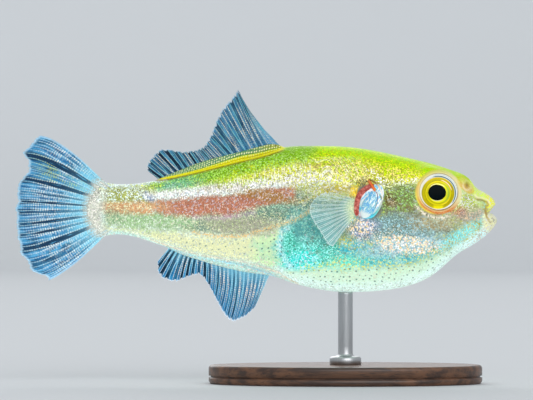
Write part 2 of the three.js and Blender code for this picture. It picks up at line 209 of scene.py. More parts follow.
class Paint:  # a material, and the one way that its nodes are made
    def __init__(self, name, **constants):
        self.material = bpy.data.materials.new(name)
        self.material.use_nodes = True
        self.tree = self.material.node_tree
        self.give(self.tree.nodes["Principled BSDF"], constants)

    def give(self, node, sockets):
        for key, value in sockets.items():
            if isinstance(value, Signal):
                self.tree.links.new(value.socket, node.inputs[key])
            else:
                node.inputs[key].default_value = value

    def add(self, kind, settings=None, sockets=None, out=0):
        node = self.tree.nodes.new(kind)
        for key, value in (settings or {}).items():
            setattr(node, key, value)
        self.give(node, sockets or {})
        if isinstance(out, tuple):
            return [Signal(self, node.outputs[o]) for o in out]
        return Signal(self, node.outputs[out])

    def maths(self, operation, *values):
        return self.add("ShaderNodeMath", {"operation": operation}, dict(enumerate(values)))

    def clamp(self, value):
        return self.add("ShaderNodeMath", {"use_clamp": True}, {0: value, 1: 0.0})

    def smooth(self, value):  # 3t^2 - 2t^3 of the clamped value
        t = self.clamp(value)
        return t * t * (3 - 2 * t)

    def past(self, value, start, steep=3.0):
        return self.smooth((value - start) * steep)

    def before(self, value, stop, steep):
        return self.smooth((stop - value) * steep)

    def mix(self, factor, a, b):  # a and b are Signals or screen colours
        a, b = (c if isinstance(c, Signal) else srgb(*c) for c in (a, b))
        return self.add("ShaderNodeMix", {"data_type": "RGBA"}, {0: factor, 6: a, 7: b}, out=2)

    def coat(self, colour, *layers):  # each layer is how much of it shows, and its colour
        for share, tone in layers:
            colour = self.mix(share, colour, tone)
        return colour

    def ramp(self, factor, stops):
        colour = self.add("ShaderNodeValToRGB", None, {0: factor})
        elements = colour.socket.node.color_ramp.elements
        while len(elements) < len(stops):
            elements.new(1)
        for element, (at, tone) in zip(elements, stops):
            element.position, element.color = at, srgb(*tone)
        return colour

    def scale(self, vector, factor):
        return self.add("ShaderNodeVectorMath", {"operation": "SCALE"}, {0: vector, "Scale": factor})

    def shift(self, vector, way):
        return self.add("ShaderNodeVectorMath", {"operation": "ADD"}, {0: vector, 1: way})

    def stretch(self, vector, scale, turn=(0, 0, 0)):
        return self.add("ShaderNodeMapping", None, {"Vector": vector, "Scale": scale, "Rotation": turn})

    def field(self, name):
        return self.add("ShaderNodeAttribute", {"attribute_name": name}, out="Fac")

    def place(self, name):
        return self.add("ShaderNodeUVMap", {"uv_map": name})

    def spot(self):
        return self.add("ShaderNodeTexCoord", out="Object")

    def flat(self, x, y):
        return self.add("ShaderNodeCombineXYZ", None, {0: x, 1: y})

    def split(self, vector):
        return self.add("ShaderNodeSeparateXYZ", None, {0: vector}, out=(0, 1, 2))

    def noise(self, vector, scale, detail=2.0, roughness=0.5, dimensions="3D", out=0):
        sockets = {"Vector": vector, "Scale": scale, "Detail": detail, "Roughness": roughness}
        return self.add("ShaderNodeTexNoise", {"noise_dimensions": dimensions}, sockets, out)

    def cells(self, vector, scale, randomness=1.0, dimensions="2D", feature="F1", out=("Distance", "Color")):
        settings = {"voronoi_dimensions": dimensions, "feature": feature}
        sockets = {"Vector": vector, "Scale": scale, "Randomness": randomness}
        return self.add("ShaderNodeTexVoronoi", settings, sockets, out)

    def bump(self, height, distance, strength):
        sockets = {"Height": height, "Distance": distance, "Strength": strength}
        return self.add("ShaderNodeBump", None, sockets)

    def finish(self, sockets):
        self.give(self.tree.nodes["Principled BSDF"], sockets)
        return self.material


def dress(piece, material, slot, *nodes):
    piece.data.materials.append(material)
    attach(piece, "root")
    if nodes:
        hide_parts(*nodes)
    print(f"{piece.name}: {sum(len(p.vertices) - 2 for p in piece.data.polygons)} triangles")


body = {
    "back": [(0.033, 0.045), (0.05, 0.0545), (0.062, 0.0672), (0.075, 0.0812), (0.088, 0.091),
             (0.104, 0.0975), (0.154, 0.1139), (0.235, 0.1342), (0.316, 0.1514), (0.398, 0.1613),
             (0.473, 0.1625), (0.544, 0.1587), (0.65, 0.1291), (0.752, 0.1063), (0.853, 0.0777),
             (0.917, 0.0666), (0.96, 0.0658), (1, 0.0696)],
    "belly": [(0.033, -0.0685), (0.053, -0.0835), (0.096, -0.1085), (0.144, -0.15), (0.175, -0.172),
              (0.215, -0.189), (0.256, -0.199), (0.316, -0.2061), (0.377, -0.2084), (0.438, -0.2033),
              (0.478, -0.1954), (0.519, -0.1848), (0.58, -0.162), (0.663, -0.139), (0.752, -0.119),
              (0.823, -0.0992), (0.884, -0.0785), (0.924, -0.0666), (0.96, -0.0615), (1, -0.0668)],
    "half": [(0.033, 0.04), (0.068, 0.0573), (0.104, 0.0733), (0.152, 0.0907), (0.195, 0.1), (0.246, 0.1067),
             (0.322, 0.112), (0.398, 0.1107), (0.473, 0.104), (0.549, 0.092), (0.701, 0.0653), (0.853, 0.04),
             (0.93, 0.028), (1, 0.017)],
    "widest": [(0.033, 0.0025), (0.068, 0.0076), (0.152, 0.0152), (0.246, 0.005), (0.322, -0.01),
               (0.398, -0.0253), (0.473, -0.0278), (0.55, -0.0203), (0.65, -0.0076), (0.85, 0), (1, 0.001)],
    "backPower": [(0.033, 1), (0.15, 0.86), (0.35, 0.92), (0.6, 1.02), (1, 1.05)],
    "bellyPower": [(0.033, 1), (0.2, 0.88), (0.4, 0.88), (0.6, 1.02), (1, 1.05)],
    "muzzleStart": 0.033,
    "throatEnd": 0.0468,
    "mouthHeight": -0.0066,
    # the body's end on back and belly, and how far its middle stands behind that
    "end": 0.998, "endBow": 0.034,
}
line = {key: smoothCurve(value) for key, value in body.items() if isinstance(value, list)}


# A loop is a ring of skin: station and height on back and belly, then station, height and half width at the
# flank, then the powers of the upper and the lower half.
def bodyLoops(s):
    bow = body["endBow"] * np.clip((s - 0.9) / (body["end"] - 0.9), 0, None) ** 2
    return np.column_stack([s, line["back"](s), s, line["belly"](s), s + bow, line["widest"](s),
                            line["half"](s), line["backPower"](s), line["bellyPower"](s)])


# The lips roll forward over the crest and in to the mouth: outer edge, crest, inner edge, mouth line,
# throat.
lipLoops = [(1, 0.0152, 0.033, 0.0114, -0.0481, 0.0253, -0.0025, 0.0341, 1, 1),
            (2, 0.0041, 0.0165, 0, -0.0266, 0.019, -0.0051, 0.0267, 1, 1),
            (3, 0.0114, 0.0051, 0.0089, -0.0127, 0.0241, -0.0057, 0.024, 1, 1),
            (4, 0.0208, -0.0051, 0.0208, -0.0079, 0.0291, -0.0066, 0.024, 1, 1),
            (5, 0.0405, -0.0046, 0.0405, -0.0086, 0.0405, -0.0066, 0.0147, 1, 1)]
behindLips = [(-1.4, *bodyLoops(np.array([0.068]))[0]), (0, *bodyLoops(np.array([body["muzzleStart"]]))[0])]
muzzleLoops = smoothCurve(behindLips + lipLoops)


# Round a loop, at an angle t from the back: height = flank + (end - flank) |cos t|^power, breadth = half
# |sin t|^power, and the station slides from the flank's to the end's as cos^2 t.
def loopPoints(loops, angle):
    backS, backZ, bellyS, bellyZ, flankS, flankZ, half, upper, lower = (loops[:, n, None] for n in range(9))
    cosine, sine = np.cos(angle)[None, :], np.sin(angle)[None, :]
    isBack = cosine >= 0
    power = np.where(isBack, upper, lower)
    rise = np.abs(cosine) ** power
    out = np.sign(sine) * np.abs(sine) ** power
    s = flankS + (np.where(isBack, backS, bellyS) - flankS) * cosine ** 2
    z = flankZ + (np.where(isBack, backZ, bellyZ) - flankZ) * rise
    return np.stack([mm(s), mm(half * out), mm(z)], axis=-1)


def flankY(s, z):  # half the breadth at a station and height, in mm: the same formula solved for the breadth
    s, z = np.asarray(s, float), np.asarray(z, float)
    above = z >= line["widest"](s)
    end = np.where(above, line["back"](s), line["belly"](s))
    power = np.where(above, line["backPower"](s), line["bellyPower"](s))
    rise = np.clip(np.abs((z - line["widest"](s)) / (end - line["widest"](s))), 0, 1)
    return mm(line["half"](s)) * (1 - rise ** (2 / power)) ** (power / 2)


eye = {
    "s": 0.1506, "z": 0.0456, "rim": (4.16, 4.0),  # the fleshy ring's half sizes, mm
    "plane": (6.85, 0.15, -0.13),  # distance from the middle, and its growth tailwards and upwards
    "opening": (3.6, 3.4), "openShift": (0.04, 0.05), "tuck": 1.06,  # the ball runs on under its rim
    "front": 1.3, "depth": 3.4, "sink": 0.55, "crest": 0.3, "hollow": 2.6,
    "iris": (0.17, -0.22), "irisSize": (3.12, 2.99),  # the iris's middle from the opening's, tailwards and up
    "pupil": (1.72, 1.51), "pupilShift": (0.17, 0.12),
    "pupilFront": 0.2, "pupilDepth": 0.5, "pupilSink": 0.13,
}
nostril = {
    "s": 0.0822, "z": 0.0645, "half": (1.0, 1.95), "lean": 0.75, "mound": 0.4, "rim": 0.12,
    "pit": (0.0785, 0.0625), "pitHalf": (0.42, 0.5), "pitDepth": 0.35,
}
gill = {
    "s": 0.3255, "z": 0.0215, "half": (2.1, 3.6), "lean": 0.5, "depth": 0.5,
    "rim": 0.1, "rimAhead": 0.22,  # the swelling round the hollow, and how much more of it there is in front
}
skin = {
    "headRows": 190, "bodyRows": 118, "muzzleRows": 44, "columns": 268,
    "neck": 0.36,  # rows stand closer ahead of it
    "sideCrowding": 0.19,  # columns stand closer on the flanks than on back and belly
    "dorsalRidge": [(0.54, 0), (0.56, 0.8), (0.6, 1.3), (0.65, 1.4), (0.7, 1.35), (0.75, 1.1), (0.8, 0.75),
                    (0.84, 0.4), (0.866, 0)],
    "analRidge": [(0.55, 0), (0.58, 0.25), (0.62, 0.8), (0.663, 1.0), (0.7, 0.95), (0.752, 0.7), (0.81, 0.35),
                  (0.84, 0)],
    "ridgeHalf": 0.85,
    "fold": [(0.5418, 0.1544), (0.595, 0.1367), (0.6456, 0.125), (0.697, 0.1122), (0.749, 0.0992),
             (0.795, 0.0886), (0.8481, 0.0785)],
    # creases: path in shares, depth in mm (below 0 a raised line), half width in mm
    "creases": [
        ([(0.0582, 0.0342), (0.0506, 0.0266), (0.0392, 0.0253), (0.0266, 0.0203), (0.0228, 0.0139),
          (0.0276, 0.0086), (0.0311, 0.0013), (0.0301, -0.0071), (0.0276, -0.017), (0.0203, -0.0278),
          (0.0114, -0.0405)], 0.3, 0.19),
        ([(0.058, 0.0387), (0.0519, 0.0316), (0.0397, 0.0304), (0.0241, 0.0243),
          (0.0192, 0.017)], -0.16, 0.22),
        ([(0.034, 0.006), (0.036, -0.004), (0.03, -0.02)], -0.1, 0.25),
        ([(0.352, 0.061), (0.3787, 0.061), (0.4562, 0.0377), (0.4975, 0.0197)], 0.14, 0.4),
        ([(0.4716, -0.0061), (0.4949, -0.0089), (0.5342, -0.0347)], 0.1, 0.4),
        ([(0.5215, -0.0372), (0.5494, -0.0552), (0.557, -0.081), (0.5494, -0.1122),
          (0.524, -0.1509)], 0.16, 0.55),
        ([(0.53, -0.173), (0.556, -0.155), (0.6387, -0.1309), (0.7476, -0.1144), (0.8132, -0.0965),
          (0.9, -0.066)],
         0.13, 0.3),
        ([(0.098, -0.098), (0.075, -0.07), (0.05, -0.048)], 0.12, 0.5),
        ([(0.36, -0.03), (0.33, -0.03), (0.3, -0.018), (0.28, 0.01)], 0.08, 0.5),
    ],
}


# Distance in mm, seen from the side, from each point to a bent line, and how far along it the nearest spot
# is.
def nearLine(s, z, path):
    path = np.array(path) * lengthMm
    steps = np.diff(path, axis=0)
    lengths = np.hypot(*steps.T)
    before = np.concatenate([[0], np.cumsum(lengths)])
    nearest = np.full(s.shape, 1e9)
    share = np.zeros(s.shape)
    for start, step, length, done in zip(path, steps, lengths, before):
        t = np.clip(((s - start[0]) * step[0] + (z - start[1]) * step[1]) / length ** 2, 0, 1)
        gap = np.hypot(s - start[0] - t * step[0], z - start[1] - t * step[1])
        share = np.where(gap < nearest, (done + t * length) / before[-1], share)
        nearest = np.minimum(nearest, gap)
    return nearest, share


def ovalDistance(s, z, centre, half, lean=0.0):  # 0 in the middle, 1 on the oval's edge
    ds, dz = s - mm(centre[0]), z - mm(centre[1])
    a = ds * math.cos(lean) + dz * math.sin(lean)
    b = dz * math.cos(lean) - ds * math.sin(lean)
    return np.hypot(a / half[0], b / half[1])


def partDistance(part, s, z):
    return ovalDistance(s, z, (part["s"], part["z"]), part["half"], -part["lean"])


def eyePlane(s, z):
    base, tailwards, upwards = eye["plane"]
    return base + tailwards * (s - mm(eye["s"])) + upwards * (z - mm(eye["z"]))


def gridNormals(points):  # cross product of the steps along and round the grid, to length 1
    along = np.gradient(points, axis=0)
    wrapped = np.concatenate([points[:, -1:], points, points[:, :1]], axis=1)
    across = (wrapped[:, 2:] - wrapped[:, :-2]) / 2
    normal = np.cross(along, across)
    return normal / np.maximum(np.linalg.norm(normal, axis=-1, keepdims=True), 1e-9)


# The flank is drawn out to the eye's fleshy ring: inside the ring the breadth is the eye's own plane, with
# a rounded crest at the edge and a hollow inside, and it eases back to the body's over half a ring more.
def raiseOrbit(points):
    s, y, z = np.moveaxis(points, -1, 0)
    rho = ovalDistance(s, z, (eye["s"], eye["z"]), eye["rim"])
    crest = eye["crest"] * hump(rho - 0.95, 0.075)
    hollow = eye["hollow"] * easeIn(0.9 - rho, 0, 0.25)
    flank = easeIn(np.abs(y), 1.0, 4.2)
    weight = (1 - easeIn(rho, 1.0, 1.62)) * flank
    target = eyePlane(s, z) - 0.25 + crest - hollow
    breadth = np.abs(y) + (target - np.abs(y)) * weight
    return np.stack([s, np.sign(y) * breadth, z], axis=-1)


# Height over the smooth skin, in mm, of each small form: creases, nostrils and gill openings.
def reliefOf(points):
    s, y, z = np.moveaxis(points, -1, 0)
    out = np.zeros(s.shape)
    onSide, onFlank = easeIn(np.abs(y), 0.2, 0.8), easeIn(np.abs(y), 0.6, 1.6)
    for path, depth, width in skin["creases"]:
        gap, along = nearLine(s, z, path)
        ends = easeIn(along, 0, 0.12) * easeIn(1 - along, 0, 0.12)
        out -= depth * (hump(gap, width) - 0.45 * hump(gap - 1.9 * width, width)) * ends * onSide
    ring = partDistance(nostril, s, z)
    pit = nostril["pitDepth"] * hump(ovalDistance(s, z, nostril["pit"], nostril["pitHalf"]), 1)
    out += (nostril["mound"] * hump(ring, 1.1) + nostril["rim"] * hump(ring - 1, 0.2) - pit) * onFlank
    ring = partDistance(gill, s, z)
    ahead = easeIn(mm(gill["s"]) - s, -1.5, 1.5)
    out -= gill["depth"] * (1 - easeIn(ring, 0.72, 1.0)) * onSide
    out += (gill["rim"] + gill["rimAhead"] * ahead) * hump(ring - 1.08, 0.12) * onSide
    return out


def ridgeHeight(key, share):  # 0 before its first knot and after its last
    knots = skin[key]
    inside = (share > knots[0][0]) & (share < knots[-1][0])
    return np.where(inside, np.maximum(smoothCurve(knots)(share), 0), 0)


# The fleshy ridges under the fins lift the middle of back and belly: height h(s) exp(-(y / half)^4).
def raiseRidges(points):
    s, y, z = np.moveaxis(points, -1, 0)
    share = s / lengthMm
    isBack = z > mm(line["widest"](share))
    height = np.where(isBack, ridgeHeight("dorsalRidge", share), -ridgeHeight("analRidge", share))
    return np.stack([s, y, z + height * np.exp(-((y / skin["ridgeHalf"]) ** 4))], axis=-1)


# Lines along the flank, height against station.
flankLines = {
    "silverTop": [(0.0, 0.012), (0.06, 0.04), (0.1, 0.062), (0.15, 0.08), (0.2, 0.072), (0.25, 0.07),
                  (0.3, 0.082), (0.3975, 0.101), (0.4691, 0.0985), (0.5418, 0.088), (0.6111, 0.0785),
                  (0.6633, 0.0715), (0.7241, 0.0615), (0.7924, 0.0506), (0.8595, 0.045), (1.02, 0.043)],
    "silverBottom": [(0.0, 0.0), (0.2, 0.03), (0.33, 0.06), (0.3975, 0.068), (0.4691, 0.07), (0.5165, 0.061),
                     (0.5595, 0.0565), (0.6111, 0.0515), (0.6633, 0.0408), (0.7241, 0.036), (0.7924, 0.0278),
                     (0.8633, 0.0253), (1.02, 0.0225)],
    "copperBottom": [(0.4, 0.045), (0.5165, 0.0253), (0.5595, 0.0177), (0.6111, 0.0065), (0.6633, -0.01),
                     (0.7241, -0.0127), (0.7924, -0.0152), (0.8633, -0.0063), (1.02, -0.006)],
    "speckLine": [(0.3, 0.0), (0.4716, -0.0061), (0.4949, -0.0089), (0.5342, -0.0347), (0.598, -0.05),
                  (0.637, -0.0605), (0.6886, -0.0658), (0.757, -0.0608), (0.83, -0.05), (1.02, -0.04)],
    "keel": [(0.3, -0.215), (0.5, -0.187), (0.53, -0.173), (0.556, -0.155), (0.5777, -0.145),
             (0.6387, -0.1309), (0.6932, -0.1233), (0.7476, -0.1144), (0.8132, -0.0965), (0.88, -0.074),
             (0.95, -0.056), (1.02, -0.06)],
    "goldTop": [(0.0, 0.03), (0.18, 0.1), (0.25, 0.108), (0.36, 0.13), (0.47, 0.125), (0.54, 0.113),
                (0.6633, 0.083), (0.9, 0.05)],
    "goldBottom": [(0.0, 0.0), (0.18, 0.068), (0.27, 0.06), (0.36, 0.058), (0.42, 0.072), (0.469, 0.093),
                   (0.5418, 0.084), (0.6633, 0.07), (0.9, 0.045)],
    "bellyTop": [(0.0, -0.02), (0.04, -0.045), (0.08, -0.075), (0.12, -0.1), (0.18, -0.125), (0.25, -0.142),
                 (0.35, -0.146), (0.45, -0.15), (0.52, -0.16), (0.6, -0.19)],
}
flank = {key: smoothCurve(value) for key, value in flankLines.items()}


def under(key):
    return lambda s, z: mm(flank[key](s / lengthMm)) - z


def over(key):
    return lambda s, z: z - mm(flank[key](s / lengthMm))


def stations(first, last):
    return lambda s, z: np.minimum(s - mm(first), mm(last) - s)


def oval(centre, half, lean=0.0):  # roughly the distance in mm to the oval's edge, inwards
    sizes = (mm(half[0]), mm(half[1]))
    return lambda s, z: (1 - ovalDistance(s, z, centre, sizes, lean)) * min(sizes)


def stripe(path, half):
    return lambda s, z: half - nearLine(s, z, path)[0]


# A mark has the colours of most grains and of the share `flecks` of them, the mm that its edge takes, and
# the distances in mm to its borders, the least of which counts.
def mark(tone, fleck, flecks, soft, *inside, strength=1.0):
    return {"tone": tone, "fleck": fleck, "flecks": flecks, "soft": soft, "inside": inside,
            "strength": strength}


# Each mark is laid over those before it.
marks = {
    "headBase": mark((151, 200, 179), (218, 206, 4), 0.4, 2.4, stations(-0.1, 0.42), under("silverTop")),
    "flankBase": mark((102, 137, 122), (218, 226, 178), 0.4, 2.0,
                      under("silverBottom"), over("speckLine"), stations(0.4, 1.0)),
    "yellowFlank": mark((222, 225, 177), (201, 216, 212), 0.35, 2.2,
                        under("speckLine"), over("keel"), stations(0.46, 1.0)),
    "limeFlank": mark((198, 233, 178), (254, 225, 224), 0.35, 2.6,
                      oval((0.56, -0.1), (0.06, 0.055)), strength=0.8),
    "greyFlank": mark((156, 157, 138), (195, 209, 155), 0.35, 2.0, oval((0.655, -0.038), (0.1, 0.022), 0.08)),
    "tealFlank": mark((112, 142, 123), (173, 220, 194), 0.4, 1.6, oval((0.545, 0.004), (0.062, 0.016), 0.2)),
    "greenStalk": mark((153, 188, 136), (222, 237, 212), 0.4, 2.2, oval((0.87, -0.026), (0.11, 0.024))),
    "limeBack": mark((165, 222, 4), (232, 243, 4), 0.4, 1.2, over("silverTop")),
    "greenBack": mark((129, 183, 4), (181, 226, 102), 0.42, 2.4, over("silverTop"), stations(0.46, 0.9)),
    "cyanBack": mark((110, 187, 129), (153, 201, 180), 0.4, 1.6,
                     over("silverTop"), oval((0.815, 0.062), (0.06, 0.016), -0.2)),
    # a painted highlight: the pale band along the upper flank, where the light catches it
    "silverHighlight": mark((250, 250, 250), (254, 249, 254), 0.4, 1.0,
                   under("silverTop"), over("silverBottom"), stations(0.38, 0.89)),
    "silverBlue": mark((201, 250, 250), (254, 254, 254), 0.5, 1.0,
                       stripe([(0.56, 0.0615), (0.66, 0.046), (0.79, 0.033), (0.88, 0.031)], 0.3),
                       strength=0.7),
    "copper": mark((184, 119, 91), (227, 213, 220), 0.3, 1.3,
                   under("silverBottom"), over("copperBottom"), stations(0.51, 0.92)),
    "rust": mark((151, 122, 32), (250, 232, 227), 0.3, 1.6,
                 oval((0.6, 0.04), (0.09, 0.0125), 0.16), strength=0.6),
    "lilac": mark((176, 145, 160), (254, 239, 254), 0.45, 1.5,
                  stripe([(0.62, -0.006), (0.68, -0.0185), (0.74, -0.0205), (0.77, -0.019)], 0.1),
                  strength=0.85),
    "orangeStalk": mark((210, 161, 115), (254, 251, 203), 0.4, 1.5, oval((0.94, 0.0085), (0.084, 0.0158))),
    "oliveStalk": mark((174, 181, 93), (226, 242, 228), 0.4, 1.5,
                       over("silverBottom"), stations(0.87, 1.03), oval((0.945, 0.045), (0.08, 0.026))),
    "cyanStalk": mark((127, 157, 197), (211, 216, 239), 0.5, 0.8,
                      oval((0.883, 0.0345), (0.016, 0.0085), 0.5), strength=0.85),
    # the golden band over the flank: its own yellow, with a painted sheen laid into it
    "goldAndSheen": mark((195, 221, 4), (254, 234, 130), 0.42, 2.0,
                 under("goldTop"), over("goldBottom"), stations(0.195, 0.7)),
    "cream": mark((250, 250, 4), (254, 251, 254), 0.45, 1.8,
                  oval((0.47, 0.0825), (0.11, 0.0165), 0.1), strength=0.75),
    "streakShade": mark((199, 201, 91), (254, 254, 254), 0.4, 1.8,
                        oval((0.445, 0.048), (0.085, 0.016), 0.3), strength=0.9),
    "oliveByFin": mark((187, 169, 49), (254, 254, 226), 0.4, 1.0,
                       oval((0.39, 0.0535), (0.05, 0.0105), 0.05), strength=0.85),
    "creamByGill": mark((195, 197, 4), (254, 254, 254), 0.4, 1.1, oval((0.3, 0.079), (0.045, 0.0135), 0.65)),
    "creamByEye": mark((250, 250, 4), (254, 251, 254), 0.45, 1.0,
                       oval((0.232, 0.073), (0.04, 0.0085), -0.1), strength=0.9),
    "oliveCheek": mark((121, 131, 72), (176, 233, 129), 0.38, 2.4, oval((0.245, 0.02), (0.085, 0.046))),
    "brownCheek": mark((89, 68, 4), (226, 193, 171), 0.4, 1.8,
                       oval((0.273, 0.0228), (0.014, 0.022), -0.3), strength=0.8),
    "greyCheek": mark((133, 99, 60), (126, 86, 4), 0.4, 2.4,
                      oval((0.215, -0.012), (0.07, 0.02)), strength=0.8),
    "blueCheek": mark((111, 137, 127), (171, 216, 225), 0.4, 2.8, oval((0.25, -0.048), (0.15, 0.044))),
    "roseCheek": mark((176, 162, 120), (193, 205, 180), 0.4, 2.4,
                      oval((0.145, -0.028), (0.066, 0.021)), strength=0.9),
    "tealThroat": mark((41, 174, 188), (174, 224, 196), 0.4, 2.6,
                       over("bellyTop"), oval((0.27, -0.125), (0.27, 0.036), 0.08)),
    "sacGreen": mark((102, 227, 197), (228, 228, 145), 0.4, 2.2,
                     oval((0.43, -0.135), (0.09, 0.022)), strength=0.8),
    "sacTeal": mark((66, 176, 150), (159, 254, 244), 0.45, 2.2, oval((0.482, -0.09), (0.074, 0.068))),
    "sacShade": mark((83, 156, 153), (143, 208, 188), 0.4, 2.6, oval((0.47, -0.042), (0.06, 0.042), 0.2)),
    "sacCyan": mark((4, 214, 200), (197, 245, 254), 0.45, 2.2, oval((0.505, -0.13), (0.046, 0.026), -0.3)),
    "sacEdge": mark((121, 208, 219), (237, 254, 254), 0.5, 1.4,
                    stripe([(0.53, -0.046), (0.547, -0.058), (0.554, -0.081), (0.547, -0.11),
                            (0.526, -0.142)], 0.3), strength=0.85),
    "glitterByFin": mark((116, 142, 161), (226, 217, 230), 0.4, 1.6, oval((0.339, -0.046), (0.036, 0.026))),
    "glitterCheek": mark((148, 185, 193), (196, 225, 227), 0.4, 1.8,
                         oval((0.222, -0.089), (0.11, 0.0235), -0.1)),
    "belly": mark((202, 232, 205), (235, 220, 196), 0.35, 2.4, under("bellyTop"), stations(-0.1, 0.56)),
    "bellyEdge": mark((216, 246, 234), (226, 250, 244), 0.3, 2.2,
                      lambda s, z: mm(line["belly"](np.clip(s / lengthMm, 0.034, 1))) - z + 1.9,
                      stations(0.07, 0.56)),
    "snoutFront": mark((197, 218, 117), (250, 254, 213), 0.4, 1.6, oval((0.08, 0.018), (0.04, 0.032))),
    "snoutGrain": mark((181, 195, 4), (254, 254, 254), 0.45, 1.2,
                       oval((0.076, 0.019), (0.019, 0.02)), strength=0.8),
    "snoutOrange": mark((172, 4, 4), (249, 184, 140), 0.4, 1.6,
                        oval((0.09, -0.007), (0.025, 0.0105), 0.3), strength=0.95),
    "jawRose": mark((158, 160, 141), (254, 219, 210), 0.4, 1.6,
                    oval((0.062, -0.0127), (0.034, 0.016)), strength=0.85),
    "jawCyan": mark((135, 233, 229), (236, 230, 192), 0.4, 1.8,
                    oval((0.085, -0.058), (0.056, 0.0125), -0.5), strength=0.9),
    "chin": mark((212, 250, 247), (244, 221, 198), 0.35, 1.4, oval((0.032, -0.066), (0.058, 0.022), -0.62)),
    "upperLip": mark((224, 250, 92), (254, 254, 234), 0.3, 0.8,
                     stations(-0.1, 0.068), lambda s, z: z - mm(0.0382) - 0.5175 * (s - mm(0.0592))),
    "snoutTop": mark((217, 250, 83), (254, 254, 207), 0.4, 0.7,
                     stations(-0.1, 0.062), lambda s, z: z - mm(0.0608) - 0.813 * (s - mm(0.058)) + 0.9,
                     strength=0.9),
    "lipEdge": mark((248, 250, 66), (254, 254, 254), 0.3, 0.9,
                    stations(-0.1, 0.028), lambda s, z: z - mm(body["mouthHeight"])),
    "lowerLip": mark((231, 230, 180), (254, 254, 254), 0.3, 1.0, oval((0.01, -0.03), (0.026, 0.026))),
    "finEdge": mark((213, 191, 4), (236, 252, 254), 0.45, 0.3,
                    stripe([(0.362, 0.0685), (0.405, 0.053), (0.44, 0.0405), (0.475, 0.0296),
                            (0.505, 0.019)], 0.13)),
    "finShadow": mark((120, 136, 84), (150, 160, 110), 0.4, 0.8,
                      stripe([(0.366, -0.034), (0.383, -0.058), (0.402, -0.085)], 0.3), strength=0.7),
    "gillShade": mark((104, 100, 52), (150, 140, 70), 0.35, 1.4,
                      oval((0.3445, 0.0665), (0.017, 0.0115)), strength=0.9),
    "gillSpot": mark((242, 206, 52), (252, 236, 130), 0.4, 0.9, oval((0.3612, 0.0475), (0.0125, 0.0115))),
    # this mark and the next are painted rim light: the thin edge on top of the tail's stalk and the one below
    # the keel line painted pale, as if lit through
    "backRimLight": mark((230, 246, 243), (237, 244, 254), 0.3, 1.0,
                     lambda s, z: 0.4 - (mm(line["back"](s / lengthMm)) - z), stations(0.84, 1.04)),
    "keelRimLight": mark((181, 218, 207), (254, 228, 212), 0.3, 0.9, under("keel"), stations(0.4, 1.04)),
    "keelLine": mark((226, 211, 180), (253, 229, 215), 0.3, 0.35,
                     stripe([(0.5, -0.189), (0.53, -0.1735), (0.556, -0.156), (0.6387, -0.1318),
                             (0.7476, -0.1152), (0.8132, -0.0975), (0.88, -0.075)], 0.1), strength=0.85),
    "keelBlue": mark((150, 204, 220), (190, 226, 236), 0.3, 0.35,
                     stripe([(0.56, -0.1685), (0.6387, -0.1395), (0.7476, -0.1225), (0.8132, -0.104),
                             (0.88, -0.0815)], 0.1), strength=0.8),
    "tailPatch": mark((196, 200, 184), (242, 238, 228), 0.45, 2.6,
                      lambda s, z: s - mm(1.0) + 0.0875 * np.abs(z)),
}


# How strongly each finish of the skin shows: the belly's dots, a golden trail on the flank, leaning needles
# of light, pale veins, coarse grain, the cheek's glitter, yellow dots over the belly, the head's blotches,
# and how pink the glitter is.
def finishFields(s, z):
    share = s / lengthMm
    inBody = np.clip(share, 0.034, 1)
    belly = np.where(share < 0.56, under("bellyTop")(s, z) + 1.0, -5)
    lowFlank = np.minimum(under("speckLine")(s, z) - 0.3, over("keel")(s, z) - 0.4)
    lowFlank = np.where(share > 0.5, lowFlank, -5)
    bellyRim = easeIn(mm(line["belly"](inBody)) - z, -1.6, -0.7)
    dotted = np.clip(np.maximum(belly / 1.2, lowFlank * 0.6), 0, 1) * (1 - bellyRim)
    dotted *= easeIn(share, 0.06, 0.12)
    gleam = np.minimum(over("silverBottom")(s, z) + 0.5, under("goldTop")(s, z) + 0.6) / 1.5
    gleam = np.clip(gleam, 0, 1) * easeIn(share, 0.3, 0.4) * (1 - easeIn(share, 0.88, 0.95))
    veins = np.clip(np.minimum(under("silverBottom")(s, z), over("speckLine")(s, z)) / 1.2, 0, 1)
    veins = veins * easeIn(share, 0.42, 0.48) * (1 - easeIn(share, 0.82, 0.9))
    back = easeIn(over("silverBottom")(s, z), -0.6, 0.6) * easeIn(share, 0.2, 0.3)
    nape = easeIn(over("goldBottom")(s, z), -1, 1) * easeIn(share, 0.17, 0.22) * (share < 0.35)
    smoothTop = 0.55 * easeIn(mm(line["back"](inBody)) - z, 2.6, 0.8) * (share < 0.56)
    grain = np.clip(0.5 + 0.5 * np.maximum(back, nape) - smoothTop, 0, 1) * easeIn(share, 0.02, 0.11)
    cheek = ovalDistance(s, z, (0.231, -0.0875), (mm(0.098), mm(0.028)), 0.12)
    byFin = ovalDistance(s, z, (0.3468, -0.043), (mm(0.038), mm(0.024)))
    throat = ovalDistance(s, z, (0.28, -0.075), (mm(0.12), mm(0.042)), 0.05)
    glitter = [easeIn(1.3 - cheek, 0, 0.75), 0.85 * easeIn(1.25 - byFin, 0, 0.6),
               0.45 * easeIn(1.3 - throat, 0, 0.7)]
    trail = [(0.77, -0.055), (0.713, -0.0666), (0.639, -0.0651), (0.578, -0.0448), (0.514, -0.0261),
             (0.47, 0.0008)]
    return {
        "dotted": dotted, "gleam": gleam, "veins": veins, "grain": grain * (1 - 0.6 * dotted),
        "trail": hump(nearLine(s, z, trail)[0], 0.32),
        "glitter": np.maximum.reduce(glitter),
        "pinkish": 0.5 - easeIn(share, 0.3, 0.33),
        "amber": hump(over("bellyTop")(s, z) - 0.6, 1.0) * easeIn(share, 0.1, 0.2) * (share < 0.5),
        "mottled": (1 - dotted) * easeIn(-over("silverTop")(s, z), -0.2, 1.2) * (1 - easeIn(share, 0.5, 0.6)),
    }


